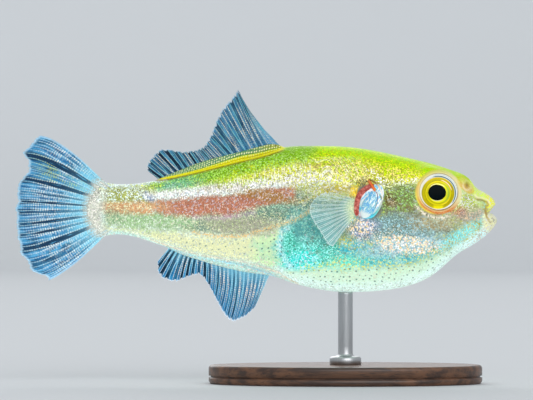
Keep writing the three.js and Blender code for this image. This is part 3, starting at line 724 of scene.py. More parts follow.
def paintSkin():
    p = Paint("pufferSkin", **{"IOR": 1.26, "Specular IOR Level": 0.28, "Subsurface Weight": 0.12,
                               "Subsurface Radius": (0.6, 0.5, 0.35), "Subsurface Scale": 0.0008,
                               "Coat Roughness": 0.14, "Coat IOR": 1.3})
    lie = p.place("lie")  # mm along the body and mm round it
    spot = p.stretch(p.spot(), (1000, 1000, 1000))  # in mm
    grainGap, grainDice = p.cells(spot, 4.5, dimensions="3D")
    diceA, diceB, diceC = p.split(grainDice)
    fine = p.noise(spot, 3.4, 3.0, 0.6)
    cloud = p.noise(spot, 0.55, 3.0, 0.6) - 0.5
    warm = p.noise(spot, 1.15, 3.0, 0.65)
    cool = p.noise(p.stretch(spot, (1, 1, 1.7), (0, 0.7, 0)), 1.3, 3.0, 0.65)
    grain, gleam, dotted = p.field("grain"), p.field("gleam"), p.field("dotted")
    softSpeck = (fine - 0.5) * 3.2 + 0.5
    speck = softSpeck + (diceB - softSpeck) * grain
    speck = speck + (0.5 - speck) * dotted * 0.6
    ragged = (speck - 0.5) * (0.5 + 0.5 * grain)
    wander = cloud * 1.4 + ragged * 0.9 + 0.5  # what makes the marks' borders uneven
    colour = (224, 244, 230)
    for name, layer in marks.items():
        tone = p.mix(p.clamp((layer["flecks"] - speck) * 7 + 0.5), layer["tone"], layer["fleck"])
        colour = p.mix(p.smooth(p.field(name) / layer["soft"] + wander) * layer["strength"], colour, tone)

    mottled = p.field("mottled")
    colour = p.coat(
        colour,
        (p.past(warm, 0.54, 9) * mottled * 0.42, (116, 100, 58)),
        (p.past(cool, 0.56, 10) * mottled * 0.42, (206, 228, 232)))

    # fine needles of light that lean with the flank's muscle, and broken pale veins
    run, around, _ = p.split(lie)
    needleNoise = p.noise(p.flat((run + around * p.field("lean")) * 4.8, around * 0.65), 1.0, 2.0, 0.6, "2D")
    needles = p.past(needleNoise, 0.52, 9) * gleam
    colour = p.coat(
        colour,
        (p.before(needleNoise, 0.47, 8) * gleam * 0.6, (170, 162, 92)),
        (needles * 0.9, (255, 254, 232)))
    bent = p.shift(lie, p.noise(lie, 0.9, dimensions="2D", out="Color"))
    veinGap = p.cells(bent, 0.85, feature="DISTANCE_TO_EDGE", out="Distance")
    veinBreak = p.smooth((p.noise(lie, 0.9, dimensions="2D") - 0.47) * 9)
    veins = p.before(veinGap, 0.05, 34) * p.field("veins") * veinBreak
    colour = p.mix(veins * 0.65, colour, (246, 232, 206))

    colour = p.scale(colour, 1 + (diceC - 0.5) * grain * 0.75 + (fine - 0.5) * (1.7 - dotted * 1.25))
    glitterGap, glitterDice = p.cells(spot, 2.9, dimensions="3D")
    rollA, rollB, rollC = p.split(glitterDice)
    glitterField = p.field("glitter")
    flecks = p.smooth((glitterField * 0.54 + 0.12 * rollC - glitterGap + (fine - 0.5) * 0.5) * 10)
    flecks = flecks * p.past(glitterField, 0.05, 9)
    fleckTone = p.mix(rollA > 0.5, (255, 240, 206), (255, 255, 252))
    fleckTone = p.coat(
        fleckTone,
        (rollB > 0.82, (255, 226, 168)),
        (1 - rollB - p.field("pinkish") * 0.3 > 0.7, (254, 218, 198)))
    colour = p.mix(flecks * 0.97, colour, fleckTone)
    dotGap, dotDice = p.cells(lie, 0.84, 0.6)
    dotRoll = p.split(dotDice)[0]
    dots = p.smooth((0.13 + dotRoll * 0.07 - dotGap) * 14) * dotted
    colour = p.mix(dots * 0.85, colour, (88, 126, 118))
    amberGap = p.cells(lie, 1.25, 0.9)[0]
    amber = p.before(amberGap, 0.25, 12) * p.field("amber")
    colour = p.coat(
        colour,
        (amber * 0.85, (240, 236, 110)),
        (p.field("trail") * p.past(softSpeck, 0.4, 4) * 0.9, (242, 196, 116)))

    # the yellow fold along the back fin, a band over it, and a ridge with rows of pale beads up to the fin
    onRidge, ridgeAt = p.field("onRidge"), p.field("ridgeAt")
    ridgeFront = p.smooth((48 - run) / 8)
    ridgeTone = p.mix(softSpeck, (62, 132, 104), (132, 176, 110))
    ridgeTone = p.mix(ridgeFront * 0.8, ridgeTone, p.mix(softSpeck, (132, 140, 20), (214, 206, 20)))
    beadGap = p.cells(p.flat(run * 2.1 + ridgeAt * 0.5, ridgeAt * 3.4), 1.0, 0.3)[0]
    beadShow = p.before(beadGap, 0.36, 7)
    ridgeTone = p.mix(beadShow, ridgeTone, (244, 244, 180))
    bandTone = p.mix(softSpeck, (196, 202, 0), (252, 240, 20))
    bandTone = p.coat(
        bandTone,
        (beadShow * 0.8, (255, 252, 150)),
        (p.before(abs(ridgeAt - 0.17), 0.05, 24) * 0.7, (168, 130, 0)))
    colour = p.coat(
        colour,
        (onRidge * p.past(ridgeAt, 0.42, 12), ridgeTone),
        (onRidge * p.before(ridgeAt, 0.44, 10) * p.smooth(ridgeAt * 12), bandTone),
        (onRidge * p.before(abs(ridgeAt - 0.48), 0.05, 22) * 0.8, (92, 112, 10)))
    footDots = abs(p.maths("FRACT", run * 1.15) - 0.5)
    footDots = p.before(footDots, 0.2, 9) * p.before(abs(ridgeAt - 0.9), 0.13, 14) * ridgeFront
    colour = p.coat(
        colour,
        (onRidge * footDots * 0.8, (96, 84, 22)),
        (p.field("foldShade") * 0.8, (150, 104, 0)),
        (p.field("yellowFold"), (255, 242, 8)))

    # the fleshy ring round the eye, orange below and pale above, the nostril's cup and the mouth's folds
    ringTone = p.mix(p.field("ringAhead"), (238, 200, 106), (238, 228, 170))
    ringTone = p.mix(p.field("ringUp"), (216, 120, 52), ringTone)
    ringTone = p.coat(
        ringTone,
        (p.past(fine, 0.48, 5) * 0.35, (246, 214, 150)),
        (p.field("ringTop") * 0.7, (206, 212, 92)))
    colour = p.coat(
        colour,
        (p.field("eyeRing"), ringTone),
        (p.field("ringEdge") * 0.8, (240, 226, 168)),
        (p.field("ringGleam") * 0.85, (250, 232, 84)),
        (p.field("pearl") * p.past(fine, 0.4, 6), (252, 242, 222)),
        (p.field("nostrilCup"), p.mix(softSpeck, (206, 206, 36), (240, 240, 130))),
        (p.field("nostrilLow"), p.mix(softSpeck, (238, 156, 70), (250, 214, 150))),
        (p.field("nostrilRim"), (236, 190, 60)),
        # painted highlight on the lip of the nostril's pit
        (p.field("nostrilLipHighlight") * 0.8, (252, 240, 190)),
        (p.field("nostrilPit") * 0.75, (146, 90, 34)),
        (p.field("gillHollow"), (150, 150, 140)),
        # painted shade along the mouth's groove, and a painted highlight on the raised line over it
        (p.field("mouthFoldShade"), (184, 146, 74)),
        (p.field("lipShine"), (254, 248, 190)))

    lumps = (0.5 - grainGap) * grain * 0.7 + dots * 0.6 + needles * 0.5 + flecks * 0.7 + fine * 0.5
    return p.finish({
        "Base Color": colour,
        "Metallic": p.clamp(p.clamp(diceA - 0.8) * grain * 2 + needles * 0.25 + flecks * 0.2),
        "Roughness": 0.5 - grain * 0.08 - needles * 0.1 + (fine - 0.5) * 0.2,
        "Coat Weight": 0.05 + grain * 0.05,
        "Normal": p.bump(lumps, 0.00006, 0.7),
    })


# Where the colours of the small forms lie: the ring round the eye, the nostril, the gill's hollow, the
# mouth's folds, and the ridge under the back fin with the yellow fold at its foot.
def detailFields(s, y, z):
    share = s / lengthMm
    ahead, up = mm(eye["s"]) - s, z - mm(eye["z"])
    ring = ovalDistance(s, z, (eye["s"], eye["z"]), eye["rim"])
    onSide, onFlank = easeIn(np.abs(y), 2, 4), easeIn(np.abs(y), 0.6, 1.6)
    nose = partDistance(nostril, s, z)
    pit = ovalDistance(s, z, nostril["pit"], nostril["pitHalf"])
    low = easeIn((mm(nostril["z"]) - z) - 0.5 * (mm(nostril["s"]) - s), -0.6, 0.8)
    foldGap, foldAlong = nearLine(s, z, skin["creases"][0][0])
    ends = easeIn(share, 0.535, 0.55) * easeIn(share, 0.88, 0.86)
    onRidge = ends * ((share > 0.535) & (share < 0.875) & (z > 0))
    fold = skin["fold"]
    aboveFold = z - mm(smoothCurve(fold)(np.clip(share, fold[0][0], fold[-1][0])))
    ridgeTop = np.interp(share, [0.545, 0.575, 0.65, 0.75, 0.85], [1.0, 1.7, 2.2, 1.05, 0.5])
    hook = hump(nearLine(s, z, [(0.5418, 0.157), (0.548, 0.1665), (0.5646, 0.1712)])[0], 0.17)
    return {
        "eyeRing": (1 - easeIn(ring, 1.0, 1.1)) * onSide,
        "ringEdge": hump(ring - 0.9, 0.035) * onSide,
        "ringUp": easeIn(up + ahead * 0.12, -3.3, -0.9),
        "ringAhead": easeIn(ahead, -3, 2.5),
        "ringTop": easeIn(up - ahead * 0.25, 1.8, 4),
        "ringGleam": hump(ring - 1.05, 0.035) * onSide * easeIn(-ahead, 0.2, 2) * easeIn(-up, -1.5, 0.8),
        "pearl": hump(ring - 1.22, 0.07) * onSide * easeIn(-up, 1.5, 3) * easeIn(s, mm(0.1), mm(0.14)),
        "nostrilCup": 0.88 * (1 - easeIn(nose, 0.6, 1.15)) * onFlank,
        "nostrilLow": 0.75 * low * (1 - easeIn(nose, 0.75, 1.1)) * onFlank,
        "nostrilRim": 0.7 * hump(nose - 1.02, 0.11) * onFlank * (0.3 + 0.7 * low),
        "nostrilPit": hump(pit, 1) * onFlank,
        # painted highlight on the lip of the nostril's pit, mostly on its lower side
        "nostrilLipHighlight": hump(pit - 1.8, 0.35) * onFlank * (0.3 + 0.7 * low),
        "gillHollow": 1 - easeIn(partDistance(gill, s, z), 0.85, 0.98),
        # painted shade along the mouth's groove, and a painted highlight on the raised line over it
        "mouthFoldShade": 0.75 * hump(foldGap, 0.19) * easeIn(foldAlong, 0, 0.1) * easeIn(1 - foldAlong, 0, 0.3),
        "lipShine": 0.85 * hump(nearLine(s, z, skin["creases"][1][0])[0], 0.2),
        "lean": 0.12 + 0.5 * easeIn(share, 0.47, 0.42),
        "yellowFold": np.maximum(hump(aboveFold - 0.05, 0.17) * onRidge, hook),
        "foldShade": hump(aboveFold + 0.22, 0.16) * onRidge,
        "ridgeAt": np.clip(aboveFold / ridgeTop, -1, 3),
        "onRidge": onRidge,
    }


def makeSkin():
    turn = circle(skin["columns"])
    angle = turn + skin["sideCrowding"] * np.sin(2 * turn)
    muzzleAt = np.linspace(5, 0, skin["muzzleRows"], endpoint=False)
    headS = np.linspace(body["muzzleStart"], skin["neck"], skin["headRows"], endpoint=False)
    trunkS = np.linspace(skin["neck"], body["end"], skin["bodyRows"])
    trunk = bodyLoops(trunkS)
    trunk[:, 6] *= 1 - 0.72 * easeIn(trunkS, 0.93, body["end"])  # thinner where the tail fin takes over
    t = np.array([0.4, 0.75, 0.95, 1.0])[:, None]  # the end closes to an upright edge inside the tail fin
    closing = np.repeat(trunk[-1:], 4, axis=0) + t * [0.003, -0.004, 0.003, 0.004, 0.008, 0, 0, 0, 0]
    closing[:, 6:7] *= np.sqrt(1.002 - t ** 2)
    loops = np.vstack([muzzleLoops(muzzleAt), bodyLoops(headS), trunk, closing])
    points = raiseRidges(raiseOrbit(loopPoints(loops, angle)))
    normal = gridNormals(points)
    outwards = np.sign(np.sum(normal * (points - points.mean(axis=1, keepdims=True)), axis=-1))
    relief = reliefOf(points)
    relief[:skin["muzzleRows"] // 2] = 0
    relief[-6:] = 0
    points = points + normal * np.median(outwards) * relief[..., None]
    s, y, z = np.moveaxis(points, -1, 0)
    fields = {name: np.minimum.reduce([rule(s, z) for rule in layer["inside"]])
              for name, layer in marks.items()}
    fields.update(finishFields(s, z))
    fields.update(detailFields(s, y, z))

    # mm along the body and round it, the same on both sides so that no seam shows, for the skin's own map
    steps = np.linalg.norm(np.diff(points, axis=1, append=points[:, :1]), axis=-1)
    around = np.concatenate([np.zeros((len(points), 1)), np.cumsum(steps, axis=1)], axis=1)
    around = np.minimum(around, around[:, -1:] - around)
    lie = np.stack([np.hstack([s, s[:, :1]]), around], -1).reshape(-1, 2)
    caps = [[mm(body["throatEnd"]), 0, mm(body["mouthHeight"])], points[-1].mean(axis=0)]
    piece = ringPiece("pufferSkin", points, caps, extraMaps={"lie": lie}, fields=fields)
    dress(piece, paintSkin(), "skin", "upper_jaw", "lower_jaw", "head", "trunk", "tail_stalk")


# Roots, tips and bends go by the share of the way across the rays, front to back or top to bottom. Membranes,
# rays, widths, pleats, sways and notches are in mm, forks by the share along a ray, splits in rays' spacings.
# In a look, half widths and bead steps are in mm; lead, bars, streaks and foldStart go by the rays' spacing,
# tint by the share across the rays, and starts, ends and reaches by the share along them.
finLook = {"lineHalf": 0.06, "beads": 1.0, "bars": 2.0, "pleatShade": 1.0, "rayShow": 0.3, "lineShow": 0.85,
           "streaks": 6.0, "rootStart": 0.08, "rootBow": 0.0, "clear": (0.05, 0.05), "lead": 0.0,
           "tint": (-1.0, 2.0)}
fins = {
    "dorsal": {
        "nodes": ("dorsal_fin",), "rays": 25, "rows": 96, "columns": 256,
        "root": [(0, 0.534, -0.012), (1, 0.855, -0.012)], "rootLine": "back",
        "tip": [(0, 0.6582, 0.3013), (0.14, 0.6608, 0.3013), (0.177, 0.6671, 0.2924), (0.227, 0.6823, 0.2747),
                (0.268, 0.6962, 0.2582), (0.3, 0.7051, 0.2418), (0.34, 0.7152, 0.2203), (0.37, 0.722, 0.2013),
                (0.41, 0.7291, 0.1861), (0.45, 0.7367, 0.1734), (0.5, 0.7443, 0.1633), (0.55, 0.7544, 0.157),
                (0.61, 0.7658, 0.1537), (0.665, 0.7835, 0.1506), (0.715, 0.8025, 0.1499),
                (0.765, 0.8278, 0.1544), (0.8, 0.8506, 0.1549), (0.835, 0.8646, 0.1468),
                (0.87, 0.8747, 0.1367), (0.9, 0.8828, 0.1253), (0.93, 0.8878, 0.1139), (0.95, 0.8886, 0.1038),
                (0.975, 0.8747, 0.0919), (1, 0.857, 0.0828)],
        "bend": [(0, 0.009), (0.15, 0.003), (0.3, 0), (1, 0)],  # how far the middle of each ray stands back
        "membrane": 0.13, "ray": 0.15, "rayWidth": 0.13, "pleat": 0.14, "notch": 0.5, "sway": 0.5,
        "forks": (0.3, 1.2), "split": 0.22, "rootThick": 0.34,
        "look": {"rayHalf": 0.075, "beadStep": 0.38, "beadHalf": 0.085, "beadEnd": 1.2, "barShow": 0.35,
                 "foldStart": 0.17, "streakShow": 0.45, "rootRagged": 0.05, "rootReach": 0.05,
                 "rootGlow": 0.35, "lead": 3.0},
    },
    "anal": {
        "nodes": ("anal_fin",), "rays": 25, "rows": 84, "columns": 256,
        "root": [(0, 0.572, 0.012), (1, 0.824, 0.012)], "rootLine": "belly",
        "tip": [(0, 0.6157, -0.2506), (0.09, 0.6253, -0.2595), (0.13, 0.6347, -0.2684),
                (0.22, 0.6519, -0.2777), (0.266, 0.662, -0.2823), (0.317, 0.6696, -0.2835),
                (0.362, 0.6797, -0.2785), (0.402, 0.6873, -0.2709), (0.442, 0.6954, -0.2595),
                (0.482, 0.7025, -0.2461), (0.558, 0.7152, -0.2223), (0.603, 0.7228, -0.2063),
                (0.643, 0.7322, -0.1894), (0.673, 0.7418, -0.1747), (0.709, 0.7552, -0.1646),
                (0.744, 0.7696, -0.1666), (0.784, 0.7848, -0.1716), (0.824, 0.8, -0.1777),
                (0.869, 0.819, -0.1818), (0.905, 0.8405, -0.1772), (0.935, 0.8519, -0.1696),
                (0.965, 0.86, -0.1557), (0.99, 0.8613, -0.1392), (1, 0.8618, -0.1316)],
        "bend": [(0, -0.001), (0.1, -0.006), (0.3, -0.008), (0.55, -0.006), (0.7, 0), (1, 0)],
        "membrane": 0.12, "ray": 0.15, "rayWidth": 0.13, "pleat": 0.14, "notch": 0.42, "sway": -0.4,
        "forks": (0.35, 1.2), "split": 0.2, "rootThick": 0.32,
        "look": {"rayHalf": 0.08, "beadStep": 0.42, "beadHalf": 0.105, "beadEnd": 1.0, "barShow": 0.3,
                 "foldStart": 0.18, "streakShow": 0.4, "rootRagged": 0.06, "rootReach": 0.12,
                 "rootGlow": 0.85, "lead": 1.7},
    },
    "tail": {
        "nodes": ("tail_fin",), "rays": 13, "rows": 118, "columns": 270,
        "centre": (0.9023, 0.0025), "spread": 36.3, "rootReach": 0.075,
        "reach": [(-1, 0.297), (-0.95, 0.294), (-0.86, 0.3115), (-0.73, 0.319), (-0.68, 0.3165),
                  (-0.58, 0.326), (-0.5, 0.3235), (-0.43, 0.3195), (-0.36, 0.323), (-0.29, 0.319),
                  (-0.2, 0.32), (-0.09, 0.3157), (0, 0.3195), (0.09, 0.3135), (0.18, 0.317), (0.27, 0.318),
                  (0.35, 0.3165), (0.42, 0.31), (0.5, 0.3015), (0.57, 0.3075), (0.64, 0.3115), (0.71, 0.3315),
                  (0.8, 0.3265), (0.88, 0.3245), (1, 0.318)],
        # how far the outer rays bow away from the middle line, from the root to the tip
        "bow": [(0, 1.0), (0.1, 1.02), (0.22, 1.035), (0.35, 1.066), (0.5, 1.09), (0.75, 1.075), (0.92, 1.03),
                (1, 0.985)],
        # the rays' turns from the lower edge, -1, to the upper, 1, and how strong the painted shade in the
        # fold after each is
        "rayTurns": [-0.97, -0.86, -0.63, -0.405, -0.27, -0.12, 0.035, 0.16, 0.29, 0.49, 0.59, 0.82, 0.975],
        "folds": [0.3, 0.45, 0.85, 0.7, 0.75, 0.65, 0.9, 0.5, 0.95, 0.25, 1.0, 0.35],
        "membrane": 0.13, "ray": 0.14, "rayWidth": 0.14, "pleat": 0.2, "notch": 0.3, "sway": 0.7,
        "forks": (0.1, 0.66), "split": 0.25, "rootThick": 0.5,
        "look": {"rayHalf": 0.11, "lineHalf": 0.08, "beads": 0.95, "beadStep": 0.46, "beadHalf": 0.17,
                 "beadEnd": 1.05, "barShow": 0.7, "foldStart": 0.2, "rayShow": 0.35, "lineShow": 0.8,
                 "streaks": 7.0, "streakShow": 0.7, "rootStart": 0.24, "rootRagged": 0.2, "rootReach": 0.1,
                 "rootGlow": 0.85, "rootBow": 0.07, "tint": (0.69, 0.88)},
    },
    "pectoral": {
        "rays": 12, "rows": 70, "columns": 196, "flare": 0.42, "sink": 0.35,
        "root": [(0, 0.3615, 0.0265), (0.5, 0.3625, 0.004), (1, 0.366, -0.0165)],
        "tip": [(0, 0.42, 0.045), (0.12, 0.449, 0.0385), (0.25, 0.472, 0.0165), (0.42, 0.474, -0.012),
                (0.6, 0.4582, -0.0405), (0.8, 0.4405, -0.0684), (0.93, 0.426, -0.088), (1, 0.417, -0.0905)],
        "membrane": 0.1, "ray": 0.08, "rayWidth": 0.07, "pleat": 0.08, "notch": 0.16, "sway": 0.0,
        "forks": (0.15, 1.2), "split": 0.14, "rootThick": 0.42,
        "look": {"rayHalf": 0.06, "lineHalf": 0.055, "beads": 0.2, "beadStep": 0.8, "beadHalf": 0.06,
                 "beadEnd": 0.9, "bars": 1.0, "barShow": 0.0, "pleatShade": 0.5, "foldStart": 0.25, "rayShow": 0.2,
                 "lineShow": 0.95, "streaks": 3.0, "streakShow": 0.2, "rootStart": 0.06, "rootRagged": 0.1,
                 "rootReach": 0.32, "rootGlow": 0.0, "clear": (0.9, 0.45)},
    },
}


# A ray forks twice on its way out: its branches stand split and then 0.46 split of the rays' spacing off
# its middle. The distance to the nearest, in spacings, is | | |f| - first | - second |, f from the ray's
# middle.
def rayDistance(ray, along, shape):
    firstFork, secondFork = shape["forks"]
    first = shape["split"] * easeIn(along, firstFork - 0.15, firstFork + 0.3)
    second = 0.46 * shape["split"] * easeIn(along, secondFork - 0.12, secondFork + 0.2)
    return np.abs(np.abs(np.abs(ray % 1 - 0.5) - first) - second)


# How far the edge is notched in, in mm: between the rays, and less between their branches.
def notches(ray, shape, betweenRays, betweenBranches):
    branch = rayDistance(ray, 1.0, shape)
    deep = easeIn(np.abs(ray % 1 - 0.5), betweenRays, 0.5)
    return shape["notch"] * (0.6 * deep + 0.4 * easeIn(branch, *betweenBranches))


# A fin is a closed blade round a middle surface (rows from root to tip, columns across its rays), thicker
# along each ray by rise * exp(-(d / width)^2) at a distance d, and swung to the side between the rays by
# pleat * cos(2 pi ray) * along.
def addFin(name, shape, middle, ray, fold, paint, side=(0, 1, 0)):
    grid = middle.shape[:2]
    along = np.linspace(0, 1, grid[0])[:, None] * np.ones(grid)
    raySpace = np.linalg.norm(np.gradient(middle, axis=1), axis=-1) / np.gradient(ray)  # mm from ray to ray
    ray, fold = np.broadcast_to(ray, grid), np.broadcast_to(fold, grid)
    away = rayDistance(ray, along, shape) * raySpace
    half = shape["membrane"] / 2 + shape["ray"] * hump(away, shape["rayWidth"]) * (1 - 0.55 * along)
    half += (shape["rootThick"] - half) * (1 - easeIn(along, 0.0, 0.22))
    half[-1] *= 0.4
    swing = shape["pleat"] * (np.cos(2 * np.pi * (ray - 0.5)) - fold) * easeIn(along, 0.15, 0.7)
    swing += shape["sway"] * along ** 2 * np.sin(2.2 * ray / ray.max() + 0.4)
    side = np.array(side)
    middle = middle + side * swing[..., None]

    def bothSides(left, right):
        return np.concatenate([left, right[:, ::-1]], axis=1)

    rings = bothSides(middle + side * half[..., None], middle - side * half[..., None])
    rows, columns = rings.shape[:2]
    quads, mapped = gridQuads(rows, columns)
    k = np.arange(columns // 2 - 1)
    rim = np.column_stack([k, k + 1, columns - 2 - k, columns - 1 - k])  # closes the root, and the tip alike
    acrossRim = np.column_stack([k, k + 1, k + 1, k]) / columns + 0.01
    u, v = np.meshgrid(np.linspace(0.01, 0.99, columns + 1), np.linspace(0.03, 0.97, rows))
    run = along * np.linalg.norm(middle[-1] - middle[0], axis=-1)
    rayMap = np.stack([bothSides(ray, ray), bothSides(run, run)], -1)
    rayMap = np.concatenate([rayMap, rayMap[:, :1]], axis=1).reshape(-1, 2)
    faces = [quads, rim[:, ::-1], rim + (rows - 1) * columns]
    maps = {"OFBake": [np.stack([u, v], -1).reshape(-1, 2)[mapped]], "ray": [rayMap[mapped]]}
    for row, order, low, high in ((0, -1, 0.005, 0.015), (rows - 1, 1, 0.98, 0.99)):
        upRim = np.broadcast_to([low, low, high, high], acrossRim.shape)
        maps["OFBake"].append(np.stack([acrossRim, upRim], -1)[:, ::order])
        maps["ray"].append(rayMap[rim + row * (columns + 1)][:, ::order])
    fields = {"along": along, "fold": fold, "space": raySpace}
    fields = {key: bothSides(field, field).ravel() for key, field in fields.items()}
    piece = addPiece(name, rings.reshape(-1, 3), faces, maps, fields)
    dress(piece, paint, "fin", *shape["nodes"])


# `deep` is the tone of the fins' darker streaks and also of the painted shade in their pleats
finColours = {
    "dorsal": {
        "membrane": (40, 98, 142), "deep": (10, 34, 56), "light": (92, 160, 194), "line": (216, 224, 214),
        "lead": (112, 166, 198), "bead": (246, 240, 214), "tint": (84, 200, 208), "rim": (200, 222, 238),
        "root": (70, 132, 116), "glow": (84, 150, 200), "rootFleck": (222, 232, 190),
    },
    "anal": {
        "membrane": (20, 110, 164), "deep": (8, 38, 56), "light": (70, 164, 210), "line": (216, 230, 238),
        "lead": (150, 200, 224), "bead": (248, 226, 196), "tint": (150, 214, 226), "rim": (228, 240, 250),
        "root": (136, 196, 214), "glow": (140, 204, 222), "rootFleck": (220, 240, 244),
    },
    "tail": {
        "membrane": (34, 112, 166), "deep": (24, 60, 90), "light": (92, 176, 218), "line": (176, 222, 240),
        "lead": (150, 196, 220), "bead": (248, 250, 242), "tint": (216, 232, 110), "rim": (190, 226, 246),
        "root": (190, 196, 184), "glow": (150, 228, 248), "rootFleck": (250, 246, 234),
    },
    "pectoral": {
        "membrane": (146, 204, 206), "deep": (110, 170, 172), "light": (206, 236, 230),
        "line": (236, 244, 240), "lead": (0, 0, 0), "bead": (248, 232, 214), "tint": (170, 220, 200),
        "rim": (214, 236, 230), "root": (190, 212, 168), "glow": (200, 226, 210),
        "rootFleck": (228, 234, 180),
    },
}


def paintFin(name, shape):
    tones = finColours[name]
    look = {**finLook, **shape["look"]}
    p = Paint(name + "Fin", **{"IOR": 1.3, "Specular IOR Level": 0.2, "Coat Roughness": 0.15,
                               "Subsurface Weight": 0.08, "Subsurface Radius": (0.5, 0.6, 0.7),
                               "Subsurface Scale": 0.0005})
    ray, run, _ = p.split(p.place("ray"))
    along, fold, space = p.field("along"), p.field("fold"), p.field("space")
    fine = p.noise(p.spot(), 4200, 2.0, 0.6)
    first = p.smooth((along - shape["forks"][0] + 0.15) / 0.45) * shape["split"]
    second = p.smooth((along - shape["forks"][1] + 0.12) / 0.32) * 0.46 * shape["split"]
    off = abs(p.maths("FRACT", ray) - 0.5)
    away = abs(abs(off - first) - second) * space
    isRay = 1 - p.smooth((away / look["rayHalf"] - 0.3) / 0.7)
    between = p.smooth((off - look["foldStart"]) / 0.16)
    mottle = p.noise(p.flat(ray * 3.0, run * 0.35), 1.0, 3.0, 0.6, "2D")
    bands = p.noise(p.flat(ray * 0.8, run * 0.12), 1.0, 2.0, 0.5, "2D")
    streaks = p.noise(p.flat(ray * look["streaks"], run * 0.35), 1.0, 3.0, 0.6, "2D")
    colour = p.mix(p.clamp(mottle * 2.6 - 0.8), tones["membrane"], tones["light"])
    colour = p.mix(p.past(streaks, 0.52, 8) * 0.68, colour, tones["deep"])
    leading = p.smooth((look["lead"] - ray) * 0.9)
    colour = p.mix(leading * 0.8, colour, tones["lead"])
    # painted shade in the pleats between the rays, where the membrane turns away from the light
    pleatShade = between * p.clamp(fold * 1.15 + (bands - 0.5) * 1.2) * look["pleatShade"] * (1 - leading)
    colour = p.coat(
        colour,
        (pleatShade, tones["deep"]),
        (p.before(streaks, 0.42, 9) * look["streakShow"], tones["light"]),
        (isRay * look["rayShow"], tones["light"]))
    broken = 0.55 + 0.45 * p.smooth((p.noise(p.flat(ray * 4.0, run * 2.2), 1.0, 1.0, 0.5, "2D") - 0.42) * 7)
    pale = 1 - p.smooth((away / look["lineHalf"] - 0.2) / 0.8)
    colour = p.mix(pale * look["lineShow"] * broken * (1 - leading * 0.7), colour, tones["line"])
    # beads in rows along the rays, and short bars between
    core = 1 - p.smooth((away - look["beadHalf"] * 0.6) / (look["beadHalf"] * 0.7))
    beadAt = abs(p.maths("FRACT", run / look["beadStep"] + p.maths("FLOOR", ray) * 0.37) - 0.5)
    bead = p.before(beadAt, 0.33, 8) * core
    barGap = p.cells(p.flat(ray * look["bars"], run / look["beadStep"]), 1.0, 0.45)[0]
    bar = p.before(barGap, 0.4, 7) * (1 - pleatShade)
    bead = bead + (bar - bead) * look["barShow"] * (1.2 - along)
    bead = bead * p.smooth((look["beadEnd"] - along) * 2.5) * p.past(along, 0.03, 14)
    patchy = p.smooth((p.noise(p.flat(ray * 1.9, run * 0.8), 1.0, 2.0, 0.5, "2D") - 0.37) * 7)
    across = ray / shape["rays"]
    tinted = p.past(bands, 0.46, 9) * p.smooth((across - look["tint"][0]) * 24)
    tinted = tinted * p.smooth((look["tint"][1] - across) * 24)
    beadTone = p.mix(tinted, tones["bead"], tones["tint"])
    colour = p.mix(bead * (0.35 + 0.65 * patchy) * look["beads"], colour, beadTone)
    edge = p.maths("MINIMUM", ray, shape["rays"] - ray)
    edge = p.maths("MAXIMUM", p.smooth((along - 0.965) / 0.03) * 0.85, p.before(edge, 0.54, 12) * 0.7)
    colour = p.mix(edge, colour, tones["rim"])
    fromRoot = along - look["rootStart"] + (across * 2 - 1) * (across * 2 - 1) * look["rootBow"]
    glow = (1 - p.smooth(fromRoot / 0.42)) * (1 - pleatShade * 0.85)
    colour = p.mix(glow * look["rootGlow"], colour, tones["glow"])
    rootFade = 1 - p.smooth((fromRoot + (fine - 0.5) * look["rootRagged"]) / look["rootReach"])
    rootTone = p.mix(p.past(fine, 0.5, 9), tones["root"], tones["rootFleck"])
    colour = p.mix(rootFade * (1 - pale * 0.5), colour, rootTone)
    colour = p.scale(colour, 1 + (fine - 0.5) * 0.5)
    clear = look["clear"][0] + (look["clear"][1] - look["clear"][0]) / shape["rays"] * ray
    return p.finish({
        "Base Color": colour,
        "Alpha": 1 - clear * (1 - isRay * 0.75) * p.smooth((along - 0.12) / 0.3) * (1 - edge * 0.6),
        "Roughness": 0.45 - bead * 0.12,
        "Coat Weight": 0.05 + isRay * 0.06,
        "Normal": p.bump(core * 0.5 + bead * 0.6 + streaks * 0.35, 0.00005, 0.6),
    })


finSide = 0.42  # how far the edges stand in, in rays, so that each edge is nearly a ray


def makeMedianFin(name):
    shape = fins[name]
    c = np.linspace(0, 1, shape["columns"])
    v = np.linspace(0, 1, shape["rows"])[:, None]
    (_, s0, lift), (_, s1, _) = shape["root"]
    rootS = s0 + (s1 - s0) * c
    root = np.column_stack([rootS, line[shape["rootLine"]](rootS) + lift])
    run = smoothCurve(shape["tip"])(c) - root
    # the rays stand closer together towards the back
    ray = finSide + (shape["rays"] - 2 * finSide) * (c - 0.12 * c * (1 - c))
    reach = 1 - notches(ray, shape, 0.3, (0.02, 0.06)) / mm(np.hypot(*run.T))
    flat = root + run * (v * reach)[..., None]
    flat[..., 0] += smoothCurve(shape["bend"])(c) * 4 * v * (1 - v)
    middle = np.insert(mm(flat), 1, 0, axis=-1)
    # each fold's share: it shifts the pleats' swing and sets how much painted shade lies in it
    fold = (0.75 + 0.25 * np.sin(ray * 1.7)) * (0.5 + 0.5 * easeIn(c, 0.45, 0.75))
    addFin(name + "Fin", shape, middle, ray, fold, paintFin(name, shape))


